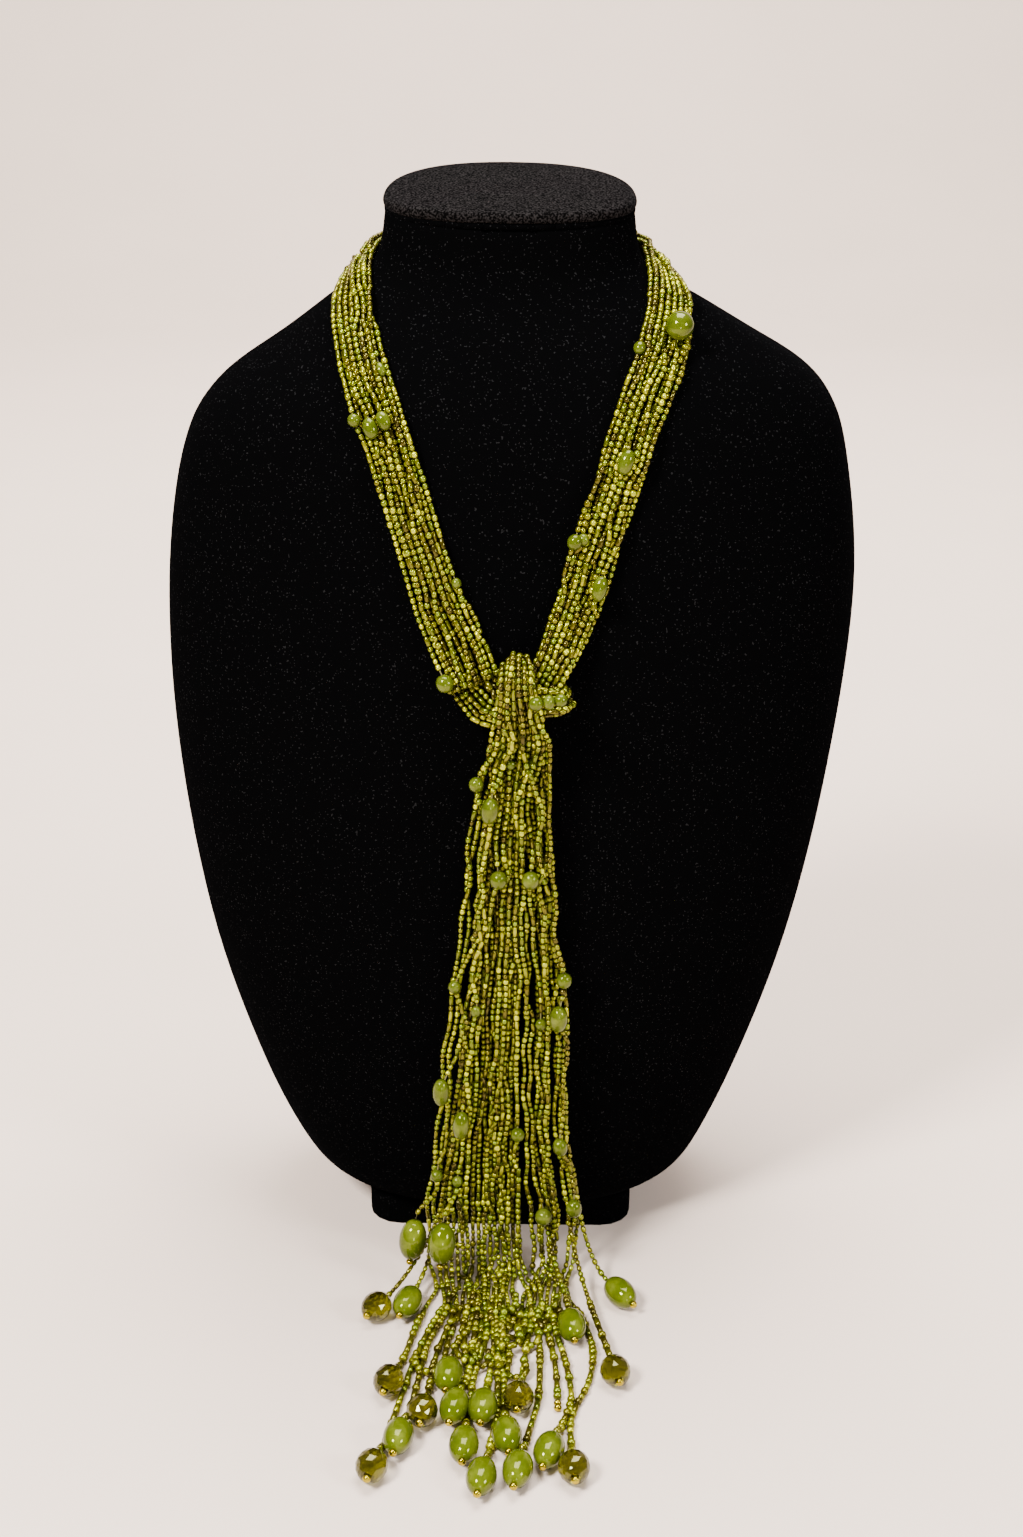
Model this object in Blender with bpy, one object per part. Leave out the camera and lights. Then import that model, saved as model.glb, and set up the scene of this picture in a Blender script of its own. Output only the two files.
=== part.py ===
"""A lariat of seed bead strands, half-knotted on a velvet neck bust. Metres, +Z up, the bust facing -Y."""

import math
from collections import namedtuple

import bmesh
import bpy
from mathutils import Vector
from mathutils.bvhtree import BVHTree

# Clearances
GAP = 0.0003
LAY_GAP = 0.0007
FLOOR_GAP = 0.0002

# Bust
FOOT_WIDTH = 0.101
FOOT_DEPTH = 0.084
FOOT_HEIGHT = 0.0115
FOOT_CORNER = 0.012
FOOT_EDGE = 0.0012
TORSO_HEIGHT = 0.3675
CHEST_HALF_WIDTH = 0.124
CHEST_FRONT_DEPTH = 0.0685
CHEST_BACK_DEPTH = 0.062
BODY_SQUARENESS = 2.3
NECK_TILT = math.radians(7.0)
CAP_THICK = 0.0052
CAP_OVERHANG = 0.0006
CAP_EDGE = 0.0016

# Strand bundles
BUNDLE_WIDTH = 0.017
BUNDLE_THICK = 0.0045
COLLAR_RIBS = 8
RIB_DEPTH = 0.0009
BACK_CROWN = 0.0002
KNOT_LAYER = 0.0040
KNOT_BACK_LAYER = 0.0030
FALL_THICK = 0.0052
KNOT_TURN = 0.0024
TASSEL_WIDTH = 0.060
TASSEL_THICK = 0.0100
TASSEL_RIBS = 10
STRING_RADIUS = 0.0011
STRING_SIDES = 5

# Beads
OVAL_LENGTH = 0.0152
OVAL_WIDTH = 0.0088
FACET_LENGTH = 0.0104
FACET_WIDTH = 0.0100
BEAD_SIDES = 10
BEAD_SINK = 0.65

TorsoRow = namedtuple("TorsoRow", "height width front back lean")
# Shares of the torso's height and of its half width, front, back and half width
TORSO_ROWS = (
    TorsoRow(0.000, 0.500, 0.70, 0.56, 0.000),
    TorsoRow(0.009, 0.570, 0.775, 0.63, 0.000),
    TorsoRow(0.023, 0.613, 0.82, 0.69, 0.000),
    TorsoRow(0.050, 0.657, 0.86, 0.76, -0.004),
    TorsoRow(0.105, 0.730, 0.905, 0.84, -0.008),
    TorsoRow(0.190, 0.815, 0.95, 0.90, -0.008),
    TorsoRow(0.270, 0.883, 0.98, 0.94, -0.008),
    TorsoRow(0.380, 0.944, 1.00, 0.98, -0.004),
    TorsoRow(0.490, 0.982, 0.98, 1.00, 0.000),
    TorsoRow(0.570, 0.998, 0.95, 1.00, 0.008),
    TorsoRow(0.650, 1.000, 0.912, 1.00, 0.016),
    TorsoRow(0.710, 0.982, 0.876, 0.985, 0.018),
    TorsoRow(0.760, 0.956, 0.832, 0.97, 0.019),
    TorsoRow(0.792, 0.931, 0.796, 0.95, 0.024),
    TorsoRow(0.815, 0.905, 0.76, 0.935, 0.029),
    TorsoRow(0.843, 0.847, 0.70, 0.92, 0.040),
    TorsoRow(0.863, 0.769, 0.65, 0.90, 0.048),
    TorsoRow(0.880, 0.681, 0.60, 0.885, 0.040),
    TorsoRow(0.901, 0.585, 0.525, 0.855, 0.028),
    TorsoRow(0.918, 0.508, 0.453, 0.81, 0.016),
    TorsoRow(0.930, 0.444, 0.416, 0.775, 0.008),
    TorsoRow(0.945, 0.379, 0.387, 0.75, 0.000),
    TorsoRow(0.965, 0.352, 0.380, 0.742, 0.000),
    TorsoRow(1.000, 0.343, 0.380, 0.742, 0.000),
)
TORSO_SIDES = 40
TILT_FROM = 0.945

LayRow = namedtuple("LayRow", "across deep height width thick lift")
# Where each bundle lies: shares of the chest's half width and front, of the torso's height, of the bundle's
# width and thickness, and of the way from the bust out to the knot's layer. The first rows pass the nape.
LEFT_LAY = (
    LayRow(-0.003, 0.70, 0.954, 0.66, 1.50, 0.0),
    LayRow(-0.130, 0.66, 0.954, 0.66, 1.50, 0.0),
    LayRow(-0.250, 0.50, 0.952, 0.66, 1.55, 0.0),
    LayRow(-0.340, 0.26, 0.947, 0.68, 1.65, 0.0),
    LayRow(-0.395, 0.02, 0.942, 0.72, 1.75, 0.0),
    LayRow(-0.410, -0.16, 0.930, 0.82, 1.60, 0.0),
    LayRow(-0.412, -0.36, 0.908, 0.94, 1.25, 0.0),
    LayRow(-0.395, -0.52, 0.880, 0.99, 1.05, 0.0),
    LayRow(-0.362, -0.66, 0.850, 1.00, 1.00, 0.0),
    LayRow(-0.328, -0.74, 0.820, 1.00, 1.00, 0.0),
    LayRow(-0.278, -0.82, 0.773, 0.99, 1.00, 0.0),
    LayRow(-0.233, -0.88, 0.724, 1.00, 1.00, 0.0),
    LayRow(-0.208, -0.91, 0.697, 1.04, 1.00, 0.0),
    LayRow(-0.180, -0.93, 0.671, 1.10, 1.00, 0.0),
    LayRow(-0.145, -0.95, 0.645, 1.18, 1.00, 0.0),
    LayRow(-0.113, -0.96, 0.620, 1.18, 0.95, 0.3),
    LayRow(-0.086, -0.97, 0.600, 1.14, 0.90, 0.7),
)
RIGHT_LAY = (
    LayRow(0.003, 0.70, 0.954, 0.66, 1.50, 0.0),
    LayRow(0.130, 0.66, 0.954, 0.66, 1.50, 0.0),
    LayRow(0.250, 0.50, 0.952, 0.66, 1.55, 0.0),
    LayRow(0.340, 0.26, 0.947, 0.68, 1.65, 0.0),
    LayRow(0.395, 0.02, 0.942, 0.72, 1.75, 0.0),
    LayRow(0.416, -0.16, 0.929, 0.86, 1.60, 0.0),
    LayRow(0.424, -0.38, 0.906, 1.02, 1.25, 0.0),
    LayRow(0.405, -0.55, 0.880, 1.05, 1.05, 0.0),
    LayRow(0.370, -0.68, 0.852, 1.04, 1.00, 0.0),
    LayRow(0.333, -0.75, 0.820, 1.02, 1.00, 0.0),
    LayRow(0.290, -0.83, 0.774, 1.00, 1.00, 0.0),
    LayRow(0.238, -0.89, 0.722, 1.02, 1.00, 0.0),
    LayRow(0.208, -0.92, 0.683, 1.00, 1.00, 0.0),
    LayRow(0.172, -0.94, 0.650, 0.93, 0.95, 0.20),
    LayRow(0.131, -0.96, 0.620, 0.82, 0.90, 0.95),
    LayRow(0.080, -0.97, 0.588, 0.76, 0.85, 1.00),
    LayRow(0.060, -0.97, 0.567, 0.74, 0.85, 1.00),
    LayRow(0.055, -0.97, 0.5545, 0.78, 0.85, 1.00),
)
LAY_STEPS = 2

# The knot: its place on the bust, and the bands' centres from there across and up
KNOT_ACROSS = 0.0050
KNOT_HEIGHT = 0.5870
WrapRow = namedtuple("WrapRow", "across up lean width layer")
# The wrap goes on from the left bundle's end: shares of the bundle's width, and of the way out to the front
# layer. lean is how far its upper edge leans to the right
WRAP_ROWS = (
    WrapRow(-0.579, -0.024, 0.72, 1.294, 0.39),
    WrapRow(-0.312, -0.082, 0.41, 1.259, 0.68),
    WrapRow(-0.059, -0.059, 0.24, 1.047, 0.97),
    WrapRow(0.165, -0.024, 0.14, 0.812, 1.00),
    WrapRow(0.365, -0.006, 0.05, 0.682, 1.00),
)
WRAP_TURN_ACROSS = 0.0131
WRAP_BACK_END = -0.0037
WRAP_WIDTH = 0.0094
FALL_TOP_UP = 0.0175
FALL_TOP_WIDTH = 0.0096
FALL_BACK_WIDTH = 0.0052
FALL_BACK_THICK = 0.0018
FALL_SHIFT = -0.0016
FALL_BACK_SHIFT = -0.0003
FALL_END_UP = -0.0135
FALL_END_WIDTH = 0.0200

TasselRow = namedtuple("TasselRow", "across height width thick")
# Shares of the tassel's width across from the knot, of the tassel's top, and of its width and thickness
TASSEL_ROWS = (
    TasselRow(0.005, 1.000, 0.360, 1.42),
    TasselRow(-0.013, 0.965, 0.420, 1.35),
    TasselRow(-0.033, 0.906, 0.480, 1.20),
    TasselRow(-0.047, 0.810, 0.520, 1.05),
    TasselRow(-0.050, 0.682, 0.610, 1.00),
    TasselRow(-0.053, 0.533, 0.735, 1.00),
    TasselRow(-0.070, 0.410, 0.800, 0.98),
    TasselRow(-0.087, 0.288, 0.840, 0.96),
    TasselRow(-0.083, 0.181, 0.950, 0.94),
    TasselRow(-0.080, 0.101, 1.020, 0.92),
)
SpreadRow = namedtuple("SpreadRow", "across ahead height width thick")
# The foot of the tassel bends forward on the floor: shares of the tassel's width across from the knot,
# ahead of the tassel's back, up and wide, and of its thickness
SPREAD_ROWS = (
    SpreadRow(-0.080, 0.083, 0.217, 1.008, 0.88),
    SpreadRow(-0.080, 0.142, 0.120, 0.983, 0.84),
    SpreadRow(-0.080, 0.250, 0.073, 0.933, 0.76),
    SpreadRow(-0.087, 0.433, 0.060, 0.833, 0.66),
    SpreadRow(-0.100, 0.650, 0.052, 0.700, 0.56),
    SpreadRow(-0.117, 0.867, 0.043, 0.567, 0.46),
    SpreadRow(-0.133, 1.033, 0.037, 0.417, 0.38),
)

# The strings on the floor in plan, each with the kind of drop it ends in. The start is inside the tassel's
# foot, in shares of the tassel's width across from the knot and ahead of the tassel's back. The points go on
# to the last seed bead, in millimetres across from the knot, and back from the foremost end of the tassel's
# foot or, for a string that leans, from the tassel's back
MM = 0.001
StringRoute = namedtuple("StringRoute", "name kind start points")
STRING_ROUTES = (
    StringRoute("a", "oval", (-0.45, 0.055), ((-34, -6.8), (-36, -10.4))),
    StringRoute("b", "oval", (-0.367, 0.063), ((-24.5, -10.8), (-25.5, -15.5))),
    StringRoute("c", "facet", (-0.5, 0.113), ((-36.7, 49.2), (-41.5, 41.3), (-46.2, 33.3))),
    StringRoute("d", "oval", (-0.45, 0.113), ((-32.7, 47.1), (-35.5, 39.6))),
    StringRoute("e", "facet", (-0.433, 0.213), ((-31.5, 34.5), (-35, 20.2), (-37.6, 6.2), (-40.9, -7.5))),
    StringRoute(
        "m",
        "oval",
        (-0.333, 0.28),
        ((-25, 28.6), (-30, 12.4), (-31.9, -3.2), (-33.7, -18.3), (-36.1, -33.1)),
    ),
    StringRoute(
        "l",
        "facet",
        (-0.283, 0.38),
        ((-21, 25.7), (-25.5, 12.7), (-27.5, 0.3), (-28.3, -11.4), (-29.5, -22.8)),
    ),
    StringRoute(
        "n",
        "facet",
        (-0.4, 0.413),
        ((-30, 19.8), (-34.5, 2.4), (-37.6, -15.1), (-40.8, -32.6), (-44.2, -50.4)),
    ),
    StringRoute("f", "oval", (-0.233, 0.58), ((-17.5, 18), (-20.4, 8.9), (-21.4, -0.8))),
    StringRoute("o", "oval", (-0.167, 0.713), ((-12.7, 6.8), (-15.5, -5.4), (-17.9, -17.7))),
    StringRoute("p", "oval", (-0.1, 0.78), ((-7.1, 4.2), (-8.1, -6.6), (-9.1, -17.4))),
    StringRoute("q", "oval", (-0.2, 0.813), ((-13.2, -3.6), (-14.4, -20.4), (-15.3, -36.8))),
    StringRoute("r", "oval", (-0.05, 0.813), ((-4.1, -8.9), (-5.7, -30.8), (-8.6, -52))),
    StringRoute("t", "oval", (-0.067, 0.813), ((-3.6, -2), (-3.2, -17), (-2.2, -31.9))),
    StringRoute("s", "facet", (0.1, 0.58), ((5, 12.9), (3.8, -1.2), (2.6, -15.4))),
    StringRoute(
        "u",
        "oval",
        (0.133, 0.513),
        ((9.6, 14.2), (9.6, -2.4), (8.8, -18.4), (5.7, -33.6), (3.2, -48.4)),
    ),
    StringRoute(
        "v",
        "oval",
        (0.333, 0.347),
        ((26.5, 23.6), (28.4, 6.4), (25.2, -11.7), (18.4, -25.7), (14.3, -39.2)),
    ),
    StringRoute(
        "w",
        "facet",
        (0.2, 0.247),
        ((14.4, 25.9), (18.4, 5.4), (20.3, -14), (19.6, -32.3), (20, -49.9)),
    ),
    StringRoute("j", "oval", (0.3, 0.147), ((19.3, 39.4), (20.4, 27.2))),
    StringRoute("k", "facet", (0.35, 0.113), ((26.2, 41), (29.7, 26.9), (31.9, 13), (34.5, -0.8))),
    StringRoute("i", "oval", (0.35, 0.097), ((29.5, 53.2), (35, 45.7))),
    StringRoute("g", "none", (0.167, 0.513), ((13.4, 14.7), (15.2, -1.6), (15.5, -17.8))),
)
# A leaning string sets out higher than it ends, and its drop keeps a wider gap
LEAN_START = 1.3
LEAN_GAP = 2.5 * GAP
# The strings of these two end above the floor, and their drops hang down against the tassel's foot:
# the height of the string's end, and how much the drop falls for its run
LEANING = {"a": (0.0265, 3.5), "b": (0.0285, 3.2)}
ROUTE_STEPS = 2
STRING_START_LIFT = 0.0030

BeadRow = namedtuple("BeadRow", "name host along across length width")
# Larger beads strung in a bundle: share of its length and of its half width, and the bead's own size
BEAD_ROWS = (
    BeadRow("collar_1", "left", 0.537, -0.90, 0.0046, 0.0046),
    BeadRow("collar_2", "left", 0.556, -0.40, 0.0080, 0.0046),
    BeadRow("collar_3", "left", 0.552, 0.17, 0.0072, 0.0042),
    BeadRow("collar_4", "left", 0.965, -0.84, 0.0064, 0.0062),
    BeadRow("collar_5", "right", 0.375, 0.30, 0.0100, 0.0094),
    BeadRow("collar_6", "right", 0.562, 0.00, 0.0088, 0.0052),
    BeadRow("collar_7", "right", 0.647, -0.88, 0.0054, 0.0052),
    BeadRow("collar_8", "right", 0.695, 0.53, 0.0088, 0.0052),
    BeadRow("tassel_1", "tassel", 0.170, -0.52, 0.0098, 0.0066),
    BeadRow("tassel_2", "tassel", 0.265, -0.22, 0.0066, 0.0066),
    BeadRow("tassel_3", "tassel", 0.265, 0.45, 0.0066, 0.0066),
    BeadRow("tassel_4", "tassel", 0.408, 0.82, 0.0100, 0.0072),
    BeadRow("tassel_5", "tassel", 0.500, -0.90, 0.0108, 0.0066),
    BeadRow("tassel_6", "tassel", 0.542, -0.57, 0.0108, 0.0066),
    BeadRow("tassel_7", "tassel", 0.570, 0.85, 0.0068, 0.0058),
    BeadRow("tassel_8", "tassel", 0.665, 0.92, 0.0072, 0.0064),
)

VELVET = ("velvet", (0.005, 0.005, 0.006), 0.95, 0.0)
CAP_VELVET = ("cap_velvet", (0.012, 0.011, 0.011), 0.95, 0.0)
PERIDOT = ("peridot_seed_beads", (0.34, 0.36, 0.03), 0.2, 0.0)
JADE = ("jade_glass", (0.30, 0.42, 0.07), 0.25, 0.0)
OLIVE = ("olive_crystal", (0.12, 0.12, 0.01), 0.08, 0.0)

Frame = namedtuple("Frame", "centre side out width thick")


def clear_scene():
    for obj in list(bpy.data.objects):
        bpy.data.objects.remove(obj, do_unlink=True)


def material_of(finish):
    name, colour, roughness, metallic = finish
    material = bpy.data.materials.get(name)
    if material is None:
        material = bpy.data.materials.new(name)
        material.use_nodes = True
        shader = material.node_tree.nodes["Principled BSDF"]
        shader.inputs["Base Color"].default_value = (*colour, 1.0)
        shader.inputs["Roughness"].default_value = roughness
        shader.inputs["Metallic"].default_value = metallic
    return material


def new_object(name, mesh, finish=None):
    obj = bpy.data.objects.new(name, mesh)
    bpy.context.scene.collection.objects.link(obj)
    if finish is not None:
        mesh.materials.append(material_of(finish))
    return obj


def smooth_shade(mesh, angle):
    mesh.shade_smooth()
    mesh.set_sharp_from_angle(angle=math.radians(angle))


def curve_through(rows, steps):
    """Rows of numbers, with steps of a smooth curve between each two."""
    found = []
    last = len(rows) - 1
    for k in range(last):
        before = rows[max(k - 1, 0)]
        here = rows[k]
        after = rows[k + 1]
        beyond = rows[min(k + 2, last)]
        for step in range(steps):
            t = step / steps
            row = []
            for p, a, b, q in zip(before, here, after, beyond):
                bend = 2 * p - 5 * a + 4 * b - q
                twist = 3 * a - p - 3 * b + q
                row.append(0.5 * (2 * a + (b - p) * t + bend * t * t + twist * t * t * t))
            found.append(row)
    found.append(list(rows[last]))
    return found


def skin_mesh(name, rings):
    """One closed mesh over rings of points, each ring turning the same way, with both ends capped."""
    mesh = bpy.data.meshes.new(name)
    bm = bmesh.new()
    loops = [[bm.verts.new(point) for point in ring] for ring in rings]
    count = len(rings[0])
    for low, high in zip(loops, loops[1:]):
        for i in range(count):
            j = (i + 1) % count
            bm.faces.new((low[i], low[j], high[j], high[i]))
    bm.faces.new(list(reversed(loops[0])))
    bm.faces.new(loops[-1])
    bmesh.ops.triangulate(bm, faces=bm.faces[:])
    if bm.calc_volume(signed=True) < 0:
        bmesh.ops.reverse_faces(bm, faces=bm.faces[:])
    bm.to_mesh(mesh)
    bm.free()
    return mesh


# Bust


def torso_ring(row):
    height, width, front, back, lean = row
    tilt = math.tan(NECK_TILT) * max(0.0, (height - TILT_FROM) / (1 - TILT_FROM))
    power = 2 / BODY_SQUARENESS
    points = []
    for k in range(TORSO_SIDES):
        angle = 2 * math.pi * k / TORSO_SIDES
        east = math.copysign(abs(math.cos(angle)) ** power, math.cos(angle))
        north = math.copysign(abs(math.sin(angle)) ** power, math.sin(angle))
        depth = CHEST_BACK_DEPTH * back if north > 0 else CHEST_FRONT_DEPTH * front
        x = CHEST_HALF_WIDTH * (lean + width * east)
        y = depth * north
        z = FOOT_HEIGHT + GAP + TORSO_HEIGHT * height + tilt * (y - neck_middle())
        points.append(Vector((x, y, z)))
    return points


def neck_middle():
    top = TORSO_ROWS[-1]
    return (CHEST_BACK_DEPTH * top.back - CHEST_FRONT_DEPTH * top.front) / 2


def make_bust():
    rings = [torso_ring(row) for row in TORSO_ROWS]
    mesh = skin_mesh("bust_form", rings)
    smooth_shade(mesh, 50)
    return new_object("bust_form", mesh, VELVET)


def make_cap():
    """A padded disc that follows the neck's top outline, tilted with it."""
    top = torso_ring(TORSO_ROWS[-1])
    middle = Vector((0.0, neck_middle(), FOOT_HEIGHT + GAP + TORSO_HEIGHT))
    normal = Vector((0.0, -math.sin(NECK_TILT), math.cos(NECK_TILT)))
    radius = CHEST_HALF_WIDTH * TORSO_ROWS[-1].width
    profile = (
        (GAP, CAP_OVERHANG - CAP_EDGE),
        (GAP + CAP_EDGE, CAP_OVERHANG),
        (CAP_THICK - CAP_EDGE, CAP_OVERHANG),
        (CAP_THICK - 0.3 * CAP_EDGE, CAP_OVERHANG - 0.3 * CAP_EDGE),
        (CAP_THICK, CAP_OVERHANG - 1.5 * CAP_EDGE),
        (CAP_THICK + GAP, -0.5 * radius),
    )
    rings = []
    for up, grow in profile:
        rings.append([middle + (point - middle) * (1 + grow / radius) + normal * up for point in top])
    mesh = skin_mesh("bust_neck_cap", rings)
    smooth_shade(mesh, 50)
    return new_object("bust_neck_cap", mesh, CAP_VELVET)


def make_foot():
    """A low block with round corners and a small rounded top edge."""
    outline = []
    for corner in range(4):
        start = corner * math.pi / 2
        east = (1, -1, -1, 1)[corner]
        north = (1, 1, -1, -1)[corner]
        centre = Vector((east * (FOOT_WIDTH / 2 - FOOT_CORNER), north * (FOOT_DEPTH / 2 - FOOT_CORNER), 0))
        for step in range(5):
            angle = start + step * math.pi / 8
            outline.append((centre, Vector((math.cos(angle), math.sin(angle), 0))))
    rings = []
    for height, inset in ((0.0, 0.0), (FOOT_HEIGHT - FOOT_EDGE, 0.0), (FOOT_HEIGHT, FOOT_EDGE)):
        rings.append([c + d * (FOOT_CORNER - inset) + Vector((0, 0, height)) for c, d in outline])
    mesh = skin_mesh("bust_foot", rings)
    smooth_shade(mesh, 50)
    return new_object("bust_foot", mesh, VELVET)


def tree_of(obj):
    bm = bmesh.new()
    bm.from_mesh(obj.data)
    tree = BVHTree.FromBMesh(bm)
    bm.free()
    return tree


# Bundles


def band_ring(frame, ribs, lay=None):
    """The outline of a bundle: a ribbed front and a plain back. lay puts a point of the back on the bust."""
    rows = []
    for k in range(2 * ribs + 1):
        share = -1 + k / ribs
        # The outermost strands sit lower than the middle ones
        edge = 1 - 0.45 * abs(share) ** 4
        height = frame.thick * edge - (RIB_DEPTH if k % 2 == 0 else 0.0)
        rows.append((share, height))
    for share in (0.92, 0.5, 0.0, -0.5, -0.92):
        rows.append((share, -BACK_CROWN * (1 - share * share)))
    ring = []
    for share, height in rows:
        point = frame.centre + frame.side * (share * frame.width / 2)
        if lay is not None:
            point = lay(point)
        ring.append(point + frame.out * height)
    return ring


def laid_frames(rows, tree):
    """Frames along a bundle that lies on the bust, with the function that lays each one's back on it."""
    layer = knot_point(tree).y - knot_layers()[1]
    centres = []
    for across, deep, height, width, thick, lift in curve_through(rows, LAY_STEPS):
        level = FOOT_HEIGHT + TORSO_HEIGHT * height
        guide = Vector((CHEST_HALF_WIDTH * across, CHEST_FRONT_DEPTH * deep, level))
        spot, normal, _, _ = tree.find_nearest(guide)
        centres.append((spot, normal, width * BUNDLE_WIDTH, thick * BUNDLE_THICK, lift))
    frames = []
    lays = []
    last = len(centres) - 1
    for k, (spot, normal, width, thick, lift) in enumerate(centres):
        before = centres[max(k - 1, 0)][0]
        after = centres[min(k + 1, last)][0]
        out = sum((c[1] for c in centres[max(k - 2, 0) : k + 3]), Vector()).normalized()
        side = out.cross((after - before).normalized()).normalized()
        if k == 0:
            side = Vector((0, 0, 1 if spot.x < 0 else -1))
        lay = make_lay(tree, out, lift, layer)
        frames.append(Frame(lay(spot), side, out, width, thick))
        lays.append(lay)
    return frames, lays


def make_lay(tree, out, lift, layer):
    """A function that moves a point along out onto the bust, or lift of the way out to the knot's layer."""

    def lay(point):
        reach = 0.03
        spot, normal, _, _ = tree.ray_cast(point + out * reach, -out, 2 * reach)
        laid = point if spot is None else spot + out * (LAY_GAP / max(normal.dot(out), 0.5))
        laid.y += lift * (layer - laid.y)
        return laid

    return lay


def make_band(name, frames, ribs, lays=None):
    rings = []
    for k, frame in enumerate(frames):
        rings.append(band_ring(frame, ribs, lays[k] if lays else None))
    mesh = skin_mesh(name, rings)
    smooth_shade(mesh, 60)
    return new_object(name, mesh, PERIDOT)


def join_solids(target, others):
    """Unions each of the others into the target and removes them."""
    for other in others:
        union = target.modifiers.new("join_" + other.name, "BOOLEAN")
        union.operation = "UNION"
        union.solver = "MANIFOLD"
        union.object = other
        apply_modifiers(target)
        bpy.data.objects.remove(other, do_unlink=True)


def apply_modifiers(obj):
    graph = bpy.context.evaluated_depsgraph_get()
    graph.update()
    mesh = bpy.data.meshes.new_from_object(obj.evaluated_get(graph))
    old = obj.data
    obj.modifiers.clear()
    obj.data = mesh
    bpy.data.meshes.remove(old)


# Knot


def knot_point(tree):
    """On the bust at the knot's height, as far forward as the bust comes behind the knot's back layer."""
    height = FOOT_HEIGHT + TORSO_HEIGHT * KNOT_HEIGHT
    lower, _, _, _ = tree.ray_cast(Vector((KNOT_ACROSS, -1, height - WRAP_WIDTH)), Vector((0, 1, 0)))
    return Vector((KNOT_ACROSS, lower.y, height))


def knot_layers():
    """How far off the bust each layer's back is: the wrap's return, the right bundle, the wrap, the fall."""
    back = LAY_GAP
    right = back + KNOT_BACK_LAYER + 2 * GAP
    front = right + KNOT_LAYER + GAP
    fall = front + KNOT_LAYER + GAP
    return back, right, front, fall


def make_knot(tree, left_end):
    knot = knot_point(tree)
    back, _, front, fall = knot_layers()
    forward = Vector((0, -1, 0))
    up = Vector((0, 0, 1))
    frames = [left_end._replace(centre=left_end.centre + left_end.side.cross(left_end.out) * 2 * GAP)]
    for across, rise, lean, width, layer in WRAP_ROWS:
        centre = knot + Vector((across, 0, rise)) * BUNDLE_WIDTH + forward * (front * layer)
        side = (up + Vector((lean, 0, 0))).normalized()
        frames.append(Frame(centre, side, forward, BUNDLE_WIDTH * width, KNOT_LAYER))
    # The wrap turns round the right bundle about an upright axis
    middle = (front + back + KNOT_BACK_LAYER) / 2
    inner = front - middle
    for step in range(1, 6):
        angle = math.pi * step / 6
        out = Vector((math.sin(angle), -math.cos(angle), 0))
        axis = knot + Vector((WRAP_TURN_ACROSS, 0, 0)) + forward * middle
        frames.append(Frame(axis + out * inner, up, out, WRAP_WIDTH, KNOT_LAYER * 0.85))
    for across in (WRAP_TURN_ACROSS - KNOT_TURN, (WRAP_TURN_ACROSS + WRAP_BACK_END) / 2, WRAP_BACK_END):
        centre = knot + Vector((across, 0, 0)) + forward * (back + KNOT_BACK_LAYER)
        frames.append(Frame(centre, up, -forward, WRAP_WIDTH, KNOT_BACK_LAYER))
    make_band("knot_wrap", frames, 5)
    fall_frames = []
    # The fall comes up just above the wrap's return, turns over the top and lies on the wrap's front
    top_middle = (back + KNOT_BACK_LAYER + fall) / 2
    turn = fall - top_middle
    side = Vector((1, 0, 0))
    crown = knot + Vector((FALL_SHIFT, 0, FALL_TOP_UP - turn - FALL_THICK)) + forward * top_middle
    foot = crown - forward * turn
    foot.x = knot.x + FALL_BACK_SHIFT
    foot.z = knot.z + WRAP_WIDTH / 2 + GAP
    fall_frames.append(Frame(foot, side, -forward, FALL_BACK_WIDTH, FALL_BACK_THICK))
    for step in range(9):
        angle = math.pi * step / 8
        out = Vector((0, math.cos(angle), math.sin(angle)))
        share = min(1.0, step / 4)
        thick = FALL_BACK_THICK + (FALL_THICK - FALL_BACK_THICK) * share
        width = FALL_BACK_WIDTH + (FALL_TOP_WIDTH - FALL_BACK_WIDTH) * share
        centre = crown + out * turn
        centre.x = foot.x + (crown.x - foot.x) * share
        fall_frames.append(Frame(centre, side, out, width, thick))
    drop = FALL_END_UP - (FALL_TOP_UP - turn - FALL_THICK)
    for share in (0.3, 0.65, 1.0):
        centre = crown + forward * turn + up * (drop * share)
        width = FALL_TOP_WIDTH + (FALL_END_WIDTH - FALL_TOP_WIDTH) * min(1.0, 1.3 * share)
        fall_frames.append(Frame(centre, side, forward, width, FALL_THICK))
    make_band("knot_fall", fall_frames, 6)


# Tassel


def tassel_frames(tree):
    """The tassel starts just below the fall's end, hangs to the table and bends forward on it."""
    knot = knot_point(tree)
    top = knot.z + FALL_END_UP - 2 * GAP
    forward = Vector((0, -1, 0))
    side = Vector((1, 0, 0))
    frames = []
    for across, height, width, thick in curve_through(TASSEL_ROWS, 2):
        centre = Vector((knot.x + TASSEL_WIDTH * across, tassel_back(), top * height))
        frames.append(Frame(centre, side, forward, TASSEL_WIDTH * width, TASSEL_THICK * thick))
    last = len(SPREAD_ROWS) - 1
    for k, (across, ahead, height, width, thick) in enumerate(SPREAD_ROWS):
        before = SPREAD_ROWS[max(k - 1, 0)]
        after = SPREAD_ROWS[min(k + 1, last)]
        run = Vector((0, before.ahead - after.ahead, after.height - before.height)).normalized()
        out = run.cross(side)
        middle = Vector((knot.x, tassel_back(), 0)) + Vector((across, -ahead, height)) * TASSEL_WIDTH
        deep = TASSEL_THICK * thick
        frames.append(Frame(middle - out * (deep / 2), side, out, TASSEL_WIDTH * width, deep))
    return frames


def tassel_back():
    """The tassel hangs straight from the chest, so its back clears the most forward part of the bust."""
    most = 0.0
    for row in TORSO_ROWS:
        most = min(most, -CHEST_FRONT_DEPTH * row.front)
    return most - LAY_GAP


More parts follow.
